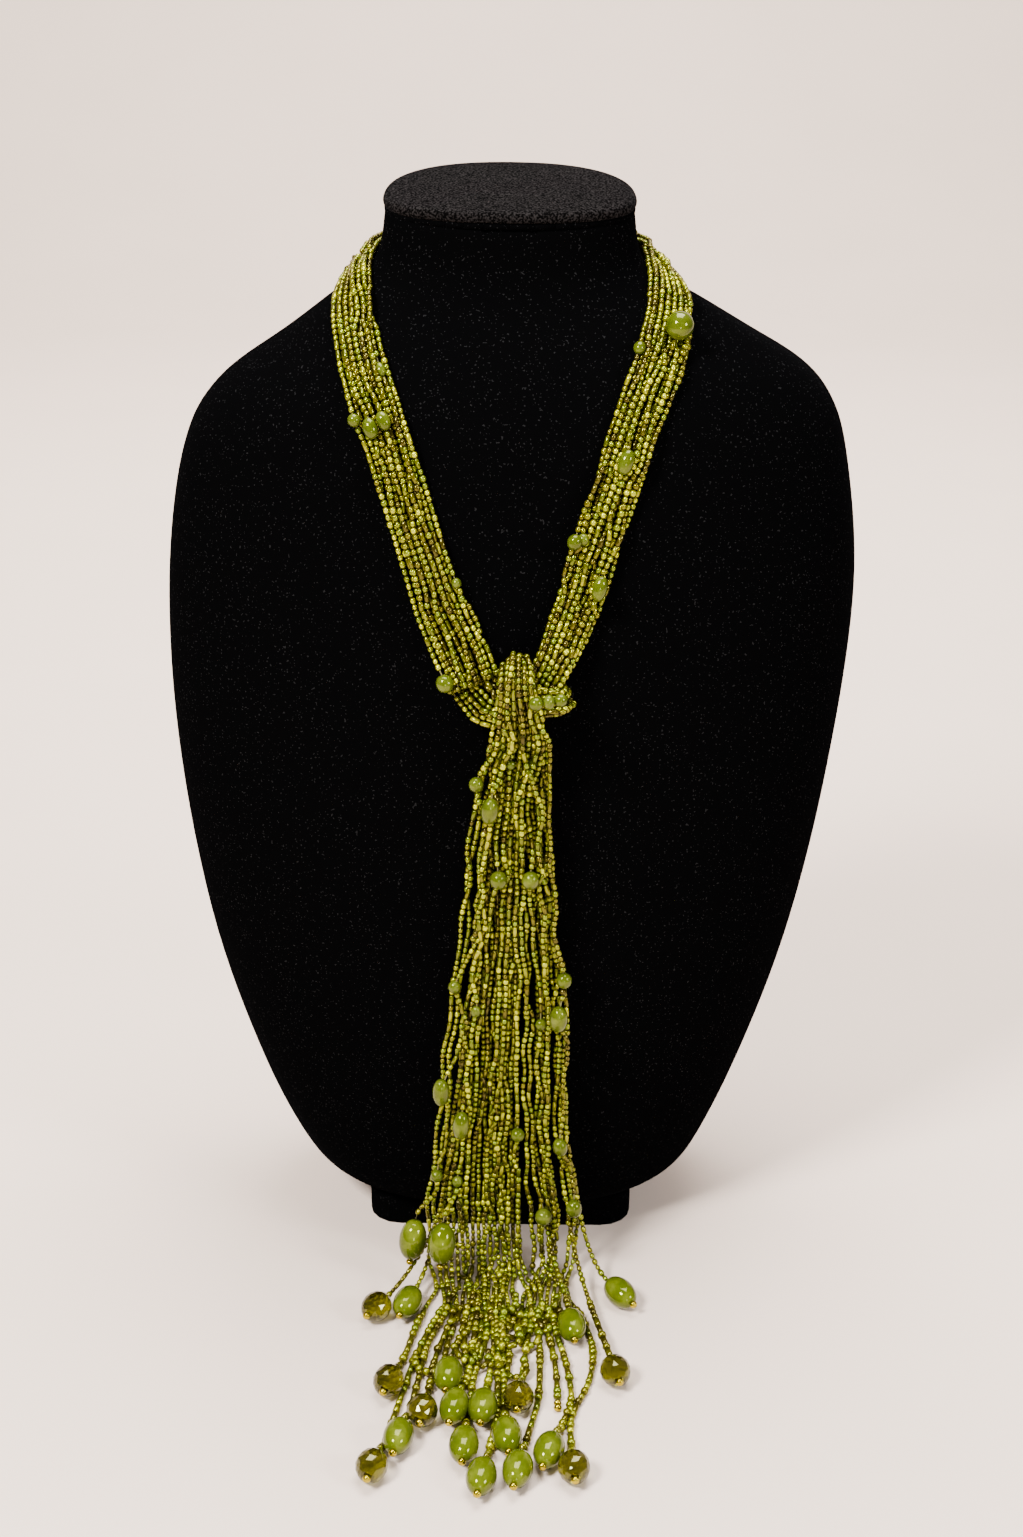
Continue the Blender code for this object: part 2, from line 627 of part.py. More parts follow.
def foot_front():
    """The foremost end of the tassel's foot on the floor."""
    return tassel_back() - TASSEL_WIDTH * SPREAD_ROWS[-1].ahead


def route_points(route, tree):
    """The string's centreline on the floor, from inside the tassel's foot to its last bead."""
    knot = knot_point(tree)
    low = STRING_RADIUS + FLOOR_GAP
    rise = LEANING[route.name][0] if route.name in LEANING else 0.0
    across, ahead = route.start
    level = low + STRING_START_LIFT + rise * LEAN_START
    rows = [(knot.x + TASSEL_WIDTH * across, tassel_back() - TASSEL_WIDTH * ahead, level)]
    front = tassel_back() if route.name in LEANING else foot_front()
    last = len(route.points) - 1
    for k, (across, back) in enumerate(route.points):
        level = low + rise * (1 if k == last else LEAN_START)
        rows.append((knot.x + across * MM, front + back * MM, level))
    return [Vector(row) for row in curve_through(rows, ROUTE_STEPS)]


def tube_mesh(name, points, radius, sides):
    rings = []
    last = len(points) - 1
    for k, point in enumerate(points):
        run = (points[min(k + 1, last)] - points[max(k - 1, 0)]).normalized()
        side = run.cross(Vector((0, 0, 1))).normalized()
        up = side.cross(run)
        ring = []
        for step in range(sides):
            angle = 2 * math.pi * (step + 0.5) / sides
            ring.append(point + side * (radius * math.cos(angle)) + up * (radius * math.sin(angle)))
        rings.append(ring)
    return skin_mesh(name, rings)


def make_tassel(tree):
    body = make_band("tassel", tassel_frames(tree), TASSEL_RIBS)
    strings = []
    for route in STRING_ROUTES:
        points = route_points(route, tree)
        mesh = tube_mesh(route.name, points, STRING_RADIUS, STRING_SIDES)
        strings.append(new_object("string_" + route.name, mesh))
    join_solids(body, strings)
    smooth_shade(body.data, 60)
    return body


# Beads


def oval_profile(length, width, rings):
    """Distance along the bead's axis and radius, from one drilled end to the other."""
    rows = []
    for k in range(rings + 1):
        angle = math.pi * (0.10 + 0.80 * k / rings)
        rows.append((-math.cos(angle) / math.cos(math.pi * 0.10) * length / 2, math.sin(angle) * width / 2))
    return rows


def facet_profile(length, width):
    """A cut bead: a small table at each end and three rows of facets."""
    return (
        (-0.50 * length, 0.22 * width),
        (-0.24 * length, 0.43 * width),
        (0.0, 0.50 * width),
        (0.24 * length, 0.43 * width),
        (0.50 * length, 0.22 * width),
    )


def turned_mesh(name, centre, axis, profile, sides, stagger=False):
    """The profile turned about the axis. A staggered one turns every second ring by half a side."""
    axis = axis.normalized()
    helper = Vector((0, 0, 1)) if abs(axis.z) < 0.9 else Vector((1, 0, 0))
    side = axis.cross(helper).normalized()
    up = side.cross(axis)
    rings = []
    for k, (along, radius) in enumerate(profile):
        shift = 0.5 if stagger and k % 2 else 0.0
        ring = []
        for step in range(sides):
            angle = 2 * math.pi * (step + shift) / sides
            around = side * math.cos(angle) + up * math.sin(angle)
            ring.append(centre + axis * along + around * radius)
        rings.append(ring)
    return skin_mesh(name, rings)


def make_drops(tree):
    for route in STRING_ROUTES:
        if route.kind == "none":
            continue
        points = route_points(route, tree)
        end = points[-1]
        run = (end - points[-2]).normalized()
        length, width = (OVAL_LENGTH, OVAL_WIDTH) if route.kind == "oval" else (FACET_LENGTH, FACET_WIDTH)
        centre = end + run * (GAP + length / 2)
        if route.name in LEANING:
            level = Vector((run.x, run.y, 0)).normalized()
            run = (level - Vector((0, 0, LEANING[route.name][1]))).normalized()
            centre = end + run * (LEAN_GAP + length / 2)
        else:
            centre.z = FLOOR_GAP + width / 2
        if route.kind == "oval":
            mesh = turned_mesh(route.name, centre, run, oval_profile(length, width, 6), BEAD_SIDES)
            smooth_shade(mesh, 60)
            new_object("drop_oval_" + route.name, mesh, JADE)
        else:
            mesh = turned_mesh(route.name, centre, run, facet_profile(length, width), 8, stagger=True)
            new_object("drop_facet_" + route.name, mesh, OLIVE)


def frame_at(frames, along):
    place = along * (len(frames) - 1)
    k = min(int(place), len(frames) - 2)
    t = place - k
    a, b = frames[k], frames[k + 1]
    run = (b.centre - a.centre).normalized()
    centre = a.centre.lerp(b.centre, t)
    side = a.side.lerp(b.side, t).normalized()
    out = a.out.lerp(b.out, t).normalized()
    return centre, side, out, a.width + (b.width - a.width) * t, a.thick + (b.thick - a.thick) * t, run


def make_strung_beads(hosts):
    """Each bead sits in a pocket in the front of its bundle."""
    for row in BEAD_ROWS:
        host, frames = hosts[row.host]
        centre, side, out, width, thick, run = frame_at(frames, row.along)
        radius = row.width / 2
        spot = centre + side * (row.across * width / 2) + out * (thick + radius * (1 - BEAD_SINK))
        mesh = turned_mesh(row.name, spot, run, oval_profile(row.length, row.width, 5), BEAD_SIDES)
        smooth_shade(mesh, 60)
        new_object("bead_" + row.name, mesh, JADE)
        grown = oval_profile(row.length + 3 * GAP, row.width + 3 * GAP, 5)
        pocket = new_object("pocket_" + row.name, turned_mesh("pocket", spot, run, grown, BEAD_SIDES))
        cut = host.modifiers.new("pocket", "BOOLEAN")
        cut.operation = "DIFFERENCE"
        cut.solver = "MANIFOLD"
        cut.object = pocket
        apply_modifiers(host)
        bpy.data.objects.remove(pocket, do_unlink=True)


def main():
    clear_scene()
    bust = make_bust()
    make_cap()
    make_foot()
    tree = tree_of(bust)
    left_frames, left_lays = laid_frames(LEFT_LAY, tree)
    right_frames, right_lays = laid_frames(RIGHT_LAY, tree)
    left = make_band("collar_left", left_frames, COLLAR_RIBS, left_lays)
    right = make_band("collar_right", right_frames, COLLAR_RIBS, right_lays)
    make_knot(tree, left_frames[-1])
    tassel = make_tassel(tree)
    make_drops(tree)
    hosts = {
        "left": (left, left_frames),
        "right": (right, right_frames),
        "tassel": (tassel, tassel_frames(tree)),
    }
    make_strung_beads(hosts)


main()
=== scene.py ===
import math

import bpy
import numpy as np
from mathutils import Matrix, Vector
from mathutils.bvhtree import BVHTree


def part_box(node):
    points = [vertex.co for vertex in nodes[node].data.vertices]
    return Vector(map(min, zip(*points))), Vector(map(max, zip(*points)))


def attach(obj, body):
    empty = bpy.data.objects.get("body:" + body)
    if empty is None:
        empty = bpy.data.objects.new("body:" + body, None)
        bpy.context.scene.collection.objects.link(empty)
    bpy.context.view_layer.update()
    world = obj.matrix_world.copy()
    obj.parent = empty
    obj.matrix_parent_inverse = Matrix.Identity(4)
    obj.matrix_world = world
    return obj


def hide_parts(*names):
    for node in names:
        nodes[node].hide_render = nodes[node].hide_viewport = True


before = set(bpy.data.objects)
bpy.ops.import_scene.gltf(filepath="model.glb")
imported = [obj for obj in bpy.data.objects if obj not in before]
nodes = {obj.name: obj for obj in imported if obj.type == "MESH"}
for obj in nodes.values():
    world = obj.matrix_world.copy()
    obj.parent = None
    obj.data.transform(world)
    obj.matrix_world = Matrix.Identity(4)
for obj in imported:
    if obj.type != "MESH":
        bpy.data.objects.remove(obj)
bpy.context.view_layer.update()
mm = 0.001

bust = {
    "halfWidth": 0.124,
    "front": 0.0685,
    "footHeight": 0.0115,
    "torsoHeight": 0.3675,
    "capTilt": math.radians(7.0),
    "seamWidth": 2.3 * mm,
    "sharpEdge": math.radians(55.0),
}

seedBeads = {
    "roundWidth": 1.95 * mm,
    "roundLength": 2.2 * mm,
    "bigWidth": 2.4 * mm,
    "bigLength": 2.4 * mm,
    "tubeWidth": 1.7 * mm,
    "tubeLength": 3.7 * mm,
    "gap": 0.08 * mm,
    "tubeShare": 0.25,
    "bigShare": 0.14,
    "stretch": (0.86, 0.28),
    "size": (0.88, 0.2),
    "tint": 0.54,
    "strandTint": 0.13,
    "beadTint": 0.23,
    "packRadius": 1.15 * mm,
    "threadWidth": 0.5 * mm,
}
# Beads below and in front of these are in the heap on the table, where they look larger
heapBeads = {
    "below": 8 * mm,
    "beyond": -0.095,
    "bigShare": 0.40,
    "size": 1.38,
    "stretch": 1.18,
    "warm": 0.06,
}

bundle = {
    "width": 0.017,
    "strands": 13,
    "layGap": 0.0007,
    "step": 1.5 * mm,
    "edge": 1.1 * mm,
    "lanes": (14, 3),
    "napeReach": 1.0 * mm,
    "wander": 1.1 * mm,
    "stackWander": 1.6 * mm,
}


def deselectAll():
    for obj in bpy.context.selected_objects:
        obj.select_set(False)


def editMesh(action, kind="VERT"):
    # into edit mode, with all of the mesh selected or none of it
    bpy.ops.object.mode_set(mode="EDIT")
    bpy.ops.mesh.select_mode(type=kind)
    bpy.ops.mesh.select_all(action=action)


def objectMode():
    bpy.ops.object.mode_set(mode="OBJECT")


def takeNewPiece(name, mesh):
    obj = bpy.data.objects.new(name, mesh)
    bpy.context.scene.collection.objects.link(obj)
    return obj


def dressPiece(obj, material, slot, *replaced):
    obj.data.materials.append(material)
    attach(obj, "root")
    if replaced:
        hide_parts(*replaced)


def curveThrough(rows, steps):
    # a smooth curve through rows of numbers
    found = []
    last = len(rows) - 1
    for k in range(last):
        before, here, after, beyond = rows[max(k - 1, 0)], rows[k], rows[k + 1], rows[min(k + 2, last)]
        for step in range(steps):
            t = step / steps
            row = []
            for p, a, b, q in zip(before, here, after, beyond):
                bend = 2 * p - 5 * a + 4 * b - q
                twist = 3 * a - p - 3 * b + q
                row.append(0.5 * (2 * a + (b - p) * t + bend * t * t + twist * t**3))
            found.append(row)
    found.append(list(rows[last]))
    return found


def softCurve(start, bend, near, end, steps):
    # from start to end, leaving towards bend and arriving from near
    found = []
    for step in range(1, steps + 1):
        t = step / steps
        s = 1 - t
        found.append(start * s**3 + bend * (3 * s * s * t) + near * (3 * s * t * t) + end * t**3)
    return found


def lineLengths(line):
    run = [0.0]
    for a, b in zip(line, line[1:]):
        run.append(run[-1] + (b - a).length)
    return run


def stretchAt(run, k, want):
    # the stretch of a line that holds a distance along it, looked for from stretch k on
    while k < len(run) - 2 and run[k + 1] < want:
        k += 1
    return k


def turnTo(axis, roll):
    axis = Vector(axis).normalized()
    helper = Vector((0, 0, 1)) if abs(axis.z) < 0.9 else Vector((1, 0, 0))
    side = axis.cross(helper).normalized()
    up = axis.cross(side)
    east = side * math.cos(roll) + up * math.sin(roll)
    north = axis.cross(east)
    return np.array([[east.x, north.x, axis.x], [east.y, north.y, axis.y], [east.z, north.z, axis.z]])


# Materials


def newMaterial(name, finish):
    material = bpy.data.materials.new(name)
    material.use_nodes = True
    shader = material.node_tree.nodes["Principled BSDF"]
    for title, value in finish.items():
        shader.inputs[title].default_value = value
    return material, material.node_tree, shader


def addRamp(tree, source, stops):
    ramp = tree.nodes.new("ShaderNodeValToRGB")
    elements = ramp.color_ramp.elements
    while len(elements) < len(stops):
        elements.new(0.5)
    for element, (place, color) in zip(elements, stops):
        element.position = place
        element.color = (*color, 1)
    tree.links.new(source, ramp.inputs["Fac"])
    return ramp.outputs["Color"]


def addNoise(tree, scale, detail=2.0, roughness=0.5):
    where = tree.nodes.new("ShaderNodeTexCoord")
    noise = tree.nodes.new("ShaderNodeTexNoise")
    noise.inputs["Scale"].default_value = scale
    noise.inputs["Detail"].default_value = detail
    noise.inputs["Roughness"].default_value = roughness
    tree.links.new(where.outputs["Object"], noise.inputs["Vector"])
    return noise.outputs["Fac"]


def addMultiply(tree, body, other, amount=1.0):
    # other and amount are values or the outputs of nodes
    mix = tree.nodes.new("ShaderNodeMix")
    mix.data_type = "RGBA"
    mix.blend_type = "MULTIPLY"
    tree.links.new(body, mix.inputs[6])
    for place, value in ((0, amount), (7, other)):
        if isinstance(value, bpy.types.NodeSocket):
            tree.links.new(value, mix.inputs[place])
        else:
            mix.inputs[place].default_value = value
    return mix.outputs[2]


def addPaintedRimShade(tree, body, rimShade):
    # painted shade: darker where the glass turns away from the view
    edge = tree.nodes.new("ShaderNodeLayerWeight")
    edge.inputs["Blend"].default_value = 0.4
    return addMultiply(tree, body, rimShade, edge.outputs["Facing"])


def cloudyMaterial(name, finish, stops, scale, detail=2.0, roughness=0.5, rimShade=None):
    # a body that clouds from one colour into the next, with painted rim shade where rimShade is given
    material, tree, shader = newMaterial(name, finish)
    body = addRamp(tree, addNoise(tree, scale, detail, roughness), stops)
    if rimShade:
        body = addPaintedRimShade(tree, body, rimShade)
    tree.links.new(body, shader.inputs["Base Color"])
    return material


blackVelvet = {
    "color": (0.0009, 0.0009, 0.001),
    "lint": (0.009, 0.009, 0.0095),
    "lintFrom": 0.75,
    "lintTo": 0.77,
    "sheen": 0.004,
}
capVelvet = {
    "color": (0.0012, 0.0011, 0.0011),
    "lint": (0.014, 0.0125, 0.0125),
    "lintFrom": 0.42,
    "lintTo": 0.72,
    "sheen": 0.01,
}
nap = {"lintScale": 1500.0, "scale": 2600.0, "strength": 0.35, "depth": 0.0004}


def velvetMaterial(name, velvet):
    base = velvet["color"]
    finish = {
        "Base Color": (*base, 1),
        "Roughness": 0.9,
        "Sheen Weight": velvet["sheen"],
        "Sheen Roughness": 0.35,
        "Sheen Tint": (0.6, 0.6, 0.66, 1),
        "Specular IOR Level": 0.0,
    }
    stops = ((0.0, base), (velvet["lintFrom"], base), (velvet["lintTo"], velvet["lint"]))
    material = cloudyMaterial(name, finish, stops, nap["lintScale"], 0.0)
    tree = material.node_tree
    bump = tree.nodes.new("ShaderNodeBump")
    bump.inputs["Strength"].default_value = nap["strength"]
    bump.inputs["Distance"].default_value = nap["depth"]
    tree.links.new(addNoise(tree, nap["scale"], 1.0), bump.inputs["Height"])
    tree.links.new(bump.outputs["Normal"], tree.nodes["Principled BSDF"].inputs["Normal"])
    return material


seedGlass = {
    "Base Color": (0.3, 0.3, 0.02, 1),
    "Roughness": 0.16,
    "Metallic": 0.55,
    "Specular IOR Level": 0.85,
    "Specular Tint": (1.0, 1.0, 0.4, 1),
    "Transmission Weight": 0.1,
    "IOR": 1.55,
}
seedColors = (
    (0.0, (0.055, 0.040, 0.0004)),
    (0.25, (0.16, 0.142, 0.0006)),
    (0.5, (0.225, 0.235, 0.001)),
    (0.72, (0.15, 0.21, 0.0015)),
    (0.85, (0.40, 0.42, 0.003)),
    (1.0, (0.62, 0.63, 0.012)),
)
# Painted shade: each bead is darkened towards its two ends, standing in for the shade between one bead and
# the next
seedEndShade = ((0.5, (1, 1, 1)), (0.95, (0.42, 0.38, 0.25)))


def addAttribute(tree, name):
    found = tree.nodes.new("ShaderNodeAttribute")
    found.attribute_name = name
    return found.outputs["Fac"]


def seedGlassMaterial():
    material, tree, shader = newMaterial("peridotSeedGlass", seedGlass)
    body = addRamp(tree, addAttribute(tree, "tint"), seedColors)
    # painted shade between beads: the ends attribute darkens each bead towards its two ends
    endShade = addRamp(tree, addAttribute(tree, "ends"), seedEndShade)
    # painted rim shade on the seed glass: (0.05, 0.04, 0.01) where it turns away from the view
    body = addPaintedRimShade(tree, addMultiply(tree, body, endShade), (0.05, 0.04, 0.01, 1))
    tree.links.new(body, shader.inputs["Base Color"])
    return material


jadeGlass = {
    "Roughness": 0.06,
    "Subsurface Weight": 0.1,
    "Subsurface Radius": (0.004, 0.005, 0.0005),
    "Subsurface Scale": 1.0,
    "IOR": 1.55,
    "Specular IOR Level": 0.4,
    "Specular Tint": (1.0, 1.0, 0.35, 1),
}
paleJade = (
    (0.3, (0.036, 0.052, 0.002)),
    (0.5, (0.060, 0.082, 0.004)),
    (0.7, (0.115, 0.142, 0.014)),
)
richJade = (
    (0.3, (0.046, 0.070, 0.0012)),
    (0.5, (0.072, 0.098, 0.002)),
    (0.7, (0.125, 0.155, 0.009)),
)


def jadeMaterial(name, stops):
    finish = {"Base Color": (*stops[1][1], 1), **jadeGlass}
    # painted rim shade on the jade: (0.38, 0.39, 0.12) where it turns away from the view
    return cloudyMaterial(name, finish, stops, 190.0, 3.0, 0.6, (0.38, 0.39, 0.12, 1))


crystal = {
    "Base Color": (0.42, 0.40, 0.05, 1),
    "Roughness": 0.01,
    "Specular Tint": (0.9, 0.86, 0.40, 1),
    "Transmission Weight": 1.0,
    "IOR": 1.62,
}
crystalSmoke = ((0.35, (0.045, 0.047, 0.0007)), (0.65, (0.19, 0.195, 0.004)))
gold = {"Base Color": (0.62, 0.45, 0.04, 1), "Roughness": 0.2, "Metallic": 1.0}
goldWear = ((0.35, (0.30, 0.225, 0.004)), (0.65, (0.44, 0.36, 0.01)))
thread = {"Base Color": (0.10, 0.09, 0.015, 1), "Roughness": 0.7}
threadTwist = ((0.4, (0.07, 0.06, 0.01)), (0.6, (0.16, 0.14, 0.03)))


# The bust


def madeSmooth(node, name, levels):
    # the CAD piece with its triangles made quads again and its surface subdivided
    deselectAll()
    obj = takeNewPiece(name, nodes[node].data.copy())
    obj.data.materials.clear()
    obj.select_set(True)
    bpy.context.view_layer.objects.active = obj
    editMesh("SELECT")
    bpy.ops.mesh.remove_doubles(threshold=1e-6)
    bpy.ops.mesh.tris_convert_to_quads(face_threshold=math.radians(60), shape_threshold=math.radians(60))
    bpy.ops.mesh.normals_make_consistent(inside=False)
    bpy.ops.mesh.select_mode(type="EDGE")
    bpy.ops.mesh.select_all(action="DESELECT")
    bpy.ops.mesh.edges_select_sharp(sharpness=bust["sharpEdge"])
    bpy.ops.transform.edge_crease(value=0.9)
    objectMode()
    smooth = obj.modifiers.new("smooth", "SUBSURF")
    smooth.levels = levels
    smooth.render_levels = levels
    bpy.ops.object.modifier_apply(modifier=smooth.name)
    obj.data.shade_smooth()
    return obj


def buildBust():
    velvet = velvetMaterial("blackVelvet", blackVelvet)
    capPile = velvetMaterial("capVelvet", capVelvet)
    for node, name, material, slot in (
        ("bust_form", "velvetTorso", velvet, "velvet"),
        ("bust_neck_cap", "velvetCap", capPile, "cap_velvet"),
    ):
        dressPiece(madeSmooth(node, name, 2), material, slot, node)
    for place in nodes["bust_foot"].material_slots:
        place.material = velvet
    # the rolled seam between the neck and its cap
    tilt = Vector((0, -math.sin(bust["capTilt"]), math.cos(bust["capTilt"])))
    corners = [v.co.copy() for v in nodes["bust_neck_cap"].data.vertices]
    low = min(c.dot(tilt) for c in corners)
    under = [c for c in corners if c.dot(tilt) < low + 0.05 * mm]
    middle = sum(under, Vector()) / len(under)
    seam = [c for c in under if (c - middle).length > 10 * mm]
    seam.sort(key=lambda c: math.atan2(c.y - middle.y, c.x - middle.x))
    threadMesh("capSeam", [seam + seam[:2]], bust["seamWidth"] / 2, 10, velvet, "velvet")


# Strands: slices across each bundle, each with its middle, its side, the way out and its width


# Distances from the knot point on the bust, out to the back of each layer
knot = {
    "across": 0.0050,
    "height": 0.5870,
    "rayBelow": 0.0094,
    "backLayer": 0.7 * mm,
    "backDepth": 3.0 * mm,
    "rightLayer": 4.3 * mm,
    "frontLayer": 8.6 * mm,
    "fallLayer": 14.4 * mm,
    "turnAcross": 13.1 * mm,
    "backWay": (9.0 * mm, 5.5 * mm),
    "cornerAcross": 3.6 * mm,
    "wrapWidth": 10.4 * mm,
    "upTurnRadius": 5.8 * mm,
    "crownAcross": -1.0 * mm,
    "crownDrop": 5.2 * mm,
    "fallTop": 17.5 * mm,
    "fallDrift": (1.3 * mm, 1.5 * mm),
    "fallWidth": 13.0 * mm,
    "fallEnd": -12.5 * mm,
    "fallEndWidth": 22.0 * mm,
    "crownArch": 4.2 * mm,
    "loopTuck": 6.0 * mm,
}


bustMesh = nodes["bust_form"].data
bustTree = BVHTree.FromPolygons(
    [v.co for v in bustMesh.vertices],
    [tuple(face.vertices) for face in bustMesh.polygons],
)
knotHeight = bust["footHeight"] + bust["torsoHeight"] * knot["height"]
knotRay = Vector((knot["across"], -1, knotHeight - knot["rayBelow"]))
knotFront = bustTree.ray_cast(knotRay, Vector((0, 1, 0)))[0].y
knotPoint = Vector((knot["across"], knotFront, knotHeight))
forward = Vector((0, -1, 0))
upward = Vector((0, 0, 1))
across = Vector((1, 0, 0))


def plainSlice(middle, side, out, width, arch=0.0, tuck=0.0):
    # arch takes a slice's two sides in; tuck is how much of its tuck a strand has here
    return {
        "middle": middle,
        "side": side.normalized(),
        "out": out.normalized(),
        "width": width,
        "lift": None,
        "layer": 0.0,
        "arch": arch,
        "tuck": tuck,
    }


# Where each bundle lies on the bust: across, deep and up as shares of the bust, the bundle's width
# as a share, and how far it is lifted from the bust out to its layer in the knot
leftLay = (
    (-0.003, 0.70, 0.954, 0.66, 0.0),
    (-0.130, 0.66, 0.954, 0.66, 0.0),
    (-0.250, 0.50, 0.952, 0.66, 0.0),
    (-0.340, 0.26, 0.947, 0.68, 0.0),
    (-0.395, 0.02, 0.942, 0.72, 0.0),
    (-0.410, -0.16, 0.930, 0.82, 0.0),
    (-0.412, -0.36, 0.908, 0.94, 0.0),
    (-0.395, -0.52, 0.880, 0.99, 0.0),
    (-0.362, -0.66, 0.850, 1.00, 0.0),
    (-0.328, -0.74, 0.820, 1.00, 0.0),
    (-0.278, -0.82, 0.773, 0.99, 0.0),
    (-0.233, -0.88, 0.724, 1.00, 0.0),
    (-0.208, -0.91, 0.697, 1.04, 0.0),
    (-0.180, -0.93, 0.671, 1.10, 0.0),
    (-0.145, -0.95, 0.645, 1.18, 0.0),
    (-0.113, -0.96, 0.620, 1.18, 0.3),
    (-0.086, -0.97, 0.600, 1.14, 0.7),
)
rightLay = (
    (0.003, 0.70, 0.954, 0.66, 0.0),
    (0.130, 0.66, 0.954, 0.66, 0.0),
    (0.250, 0.50, 0.952, 0.66, 0.0),
    (0.340, 0.26, 0.947, 0.68, 0.0),
    (0.395, 0.02, 0.942, 0.72, 0.0),
    (0.416, -0.16, 0.929, 0.86, 0.0),
    (0.424, -0.38, 0.906, 1.02, 0.0),
    (0.405, -0.55, 0.880, 1.05, 0.0),
    (0.370, -0.68, 0.852, 1.04, 0.0),
    (0.333, -0.75, 0.820, 1.02, 0.0),
    (0.290, -0.83, 0.774, 1.00, 0.0),
    (0.238, -0.89, 0.722, 1.02, 0.0),
    (0.208, -0.92, 0.683, 1.00, 0.0),
    (0.172, -0.94, 0.650, 0.93, 0.20),
    (0.131, -0.96, 0.620, 0.82, 0.95),
    (0.080, -0.97, 0.588, 0.76, 1.0),
    (0.060, -0.97, 0.567, 0.74, 1.0),
    (0.055, -0.97, 0.5545, 0.78, 1.0),
)


def laySlices(rows):
    # slices on the bust; each keeps how far it is lifted towards its layer in the knot
    layer = knotPoint.y - knot["rightLayer"]
    spots = []
    for share, deep, high, width, lift in curveThrough(rows, 6):
        height = bust["footHeight"] + bust["torsoHeight"] * high
        guide = Vector((bust["halfWidth"] * share, bust["front"] * deep, height))
        spot, normal = bustTree.find_nearest(guide)[:2]
        spots.append((spot, normal, width * bundle["width"], min(max(lift, 0.0), 1.0)))
    slices = []
    last = len(spots) - 1
    for k, (spot, normal, width, lift) in enumerate(spots):
        before = spots[max(k - 2, 0)][0]
        after = spots[min(k + 2, last)][0]
        out = sum((s[1] for s in spots[max(k - 6, 0) : k + 7]), Vector()).normalized()
        side = out.cross((after - before).normalized()).normalized()
        cut = plainSlice(spot, side, out, width)
        cut["lift"] = lift
        cut["layer"] = layer
        slices.append(cut)
    return slices


# The wrap's middle across and up from the knot, how its upper edge leans, its width and its layer's share
wrapRows = (
    (-9.85 * mm, -0.4 * mm, 0.72, 22.0 * mm, 0.39),
    (-5.30 * mm, -1.4 * mm, 0.41, 21.4 * mm, 0.68),
    (-1.00 * mm, -1.0 * mm, 0.24, 17.8 * mm, 0.97),
    (2.80 * mm, -0.4 * mm, 0.14, 13.8 * mm, 1.00),
    (6.20 * mm, -0.1 * mm, 0.05, 11.6 * mm, 1.00),
)


def wrapSlices():
    # in front, round the right side, back behind, up through the V and over the top
    found = []
    for away, rise, lean, width, layer in curveThrough(wrapRows, 3):
        middle = knotPoint + Vector((away, 0, rise)) + forward * (knot["frontLayer"] * layer)
        found.append(plainSlice(middle, upward + across * lean, forward, width))
    backFace = knot["backLayer"] + knot["backDepth"]
    middleOut = (knot["frontLayer"] + backFace) / 2
    axis = knotPoint + across * knot["turnAcross"] + forward * middleOut
    for step in range(1, 9):
        angle = math.pi * step / 9
        out = Vector((math.sin(angle), -math.cos(angle), 0))
        middle = axis + out * (knot["frontLayer"] - middleOut)
        found.append(plainSlice(middle, upward, out, knot["wrapWidth"], 0.0, math.sin(angle)))
    corner = knotPoint + Vector((knot["cornerAcross"], 0, knot["upTurnRadius"])) + forward * backFace
    for away in (knot["turnAcross"], *knot["backWay"]):
        middle = knotPoint + across * away + forward * backFace
        found.append(plainSlice(middle, upward, -forward, knot["wrapWidth"]))
    for step in range(6):
        angle = math.pi / 2 * step / 5
        arm = Vector((math.sin(angle), 0, math.cos(angle)))
        found.append(plainSlice(corner - arm * knot["upTurnRadius"], arm, -forward, knot["wrapWidth"]))
    turn = (knot["fallLayer"] - backFace) / 2
    crown = knotPoint + Vector((knot["crownAcross"], 0, knot["fallTop"] - turn - knot["crownDrop"]))
    crown += forward * (knot["fallLayer"] + backFace) / 2
    for step in range(13):
        angle = math.pi * step / 12
        out = Vector((0, math.cos(angle), math.sin(angle)))
        width = knot["wrapWidth"] + (knot["fallWidth"] - knot["wrapWidth"]) * step / 12
        arch = knot["crownArch"] * (0.35 + 0.65 * math.sin(angle))
        found.append(plainSlice(crown + out * turn, across, out, width, arch))
    top = found[-1]["middle"]
    side, back = knot["fallDrift"]
    drop = knotPoint.z + knot["fallEnd"] - top.z
    for step in range(1, 9):
        share = step / 8
        middle = Vector((top.x + side * share, top.y + back * share, top.z + drop * share))
        width = knot["fallWidth"] + (knot["fallEndWidth"] - knot["fallWidth"]) * share
        arch = knot["crownArch"] * 0.35 * (1 - share)
        found.append(plainSlice(middle, across, forward, width, arch))
    return found


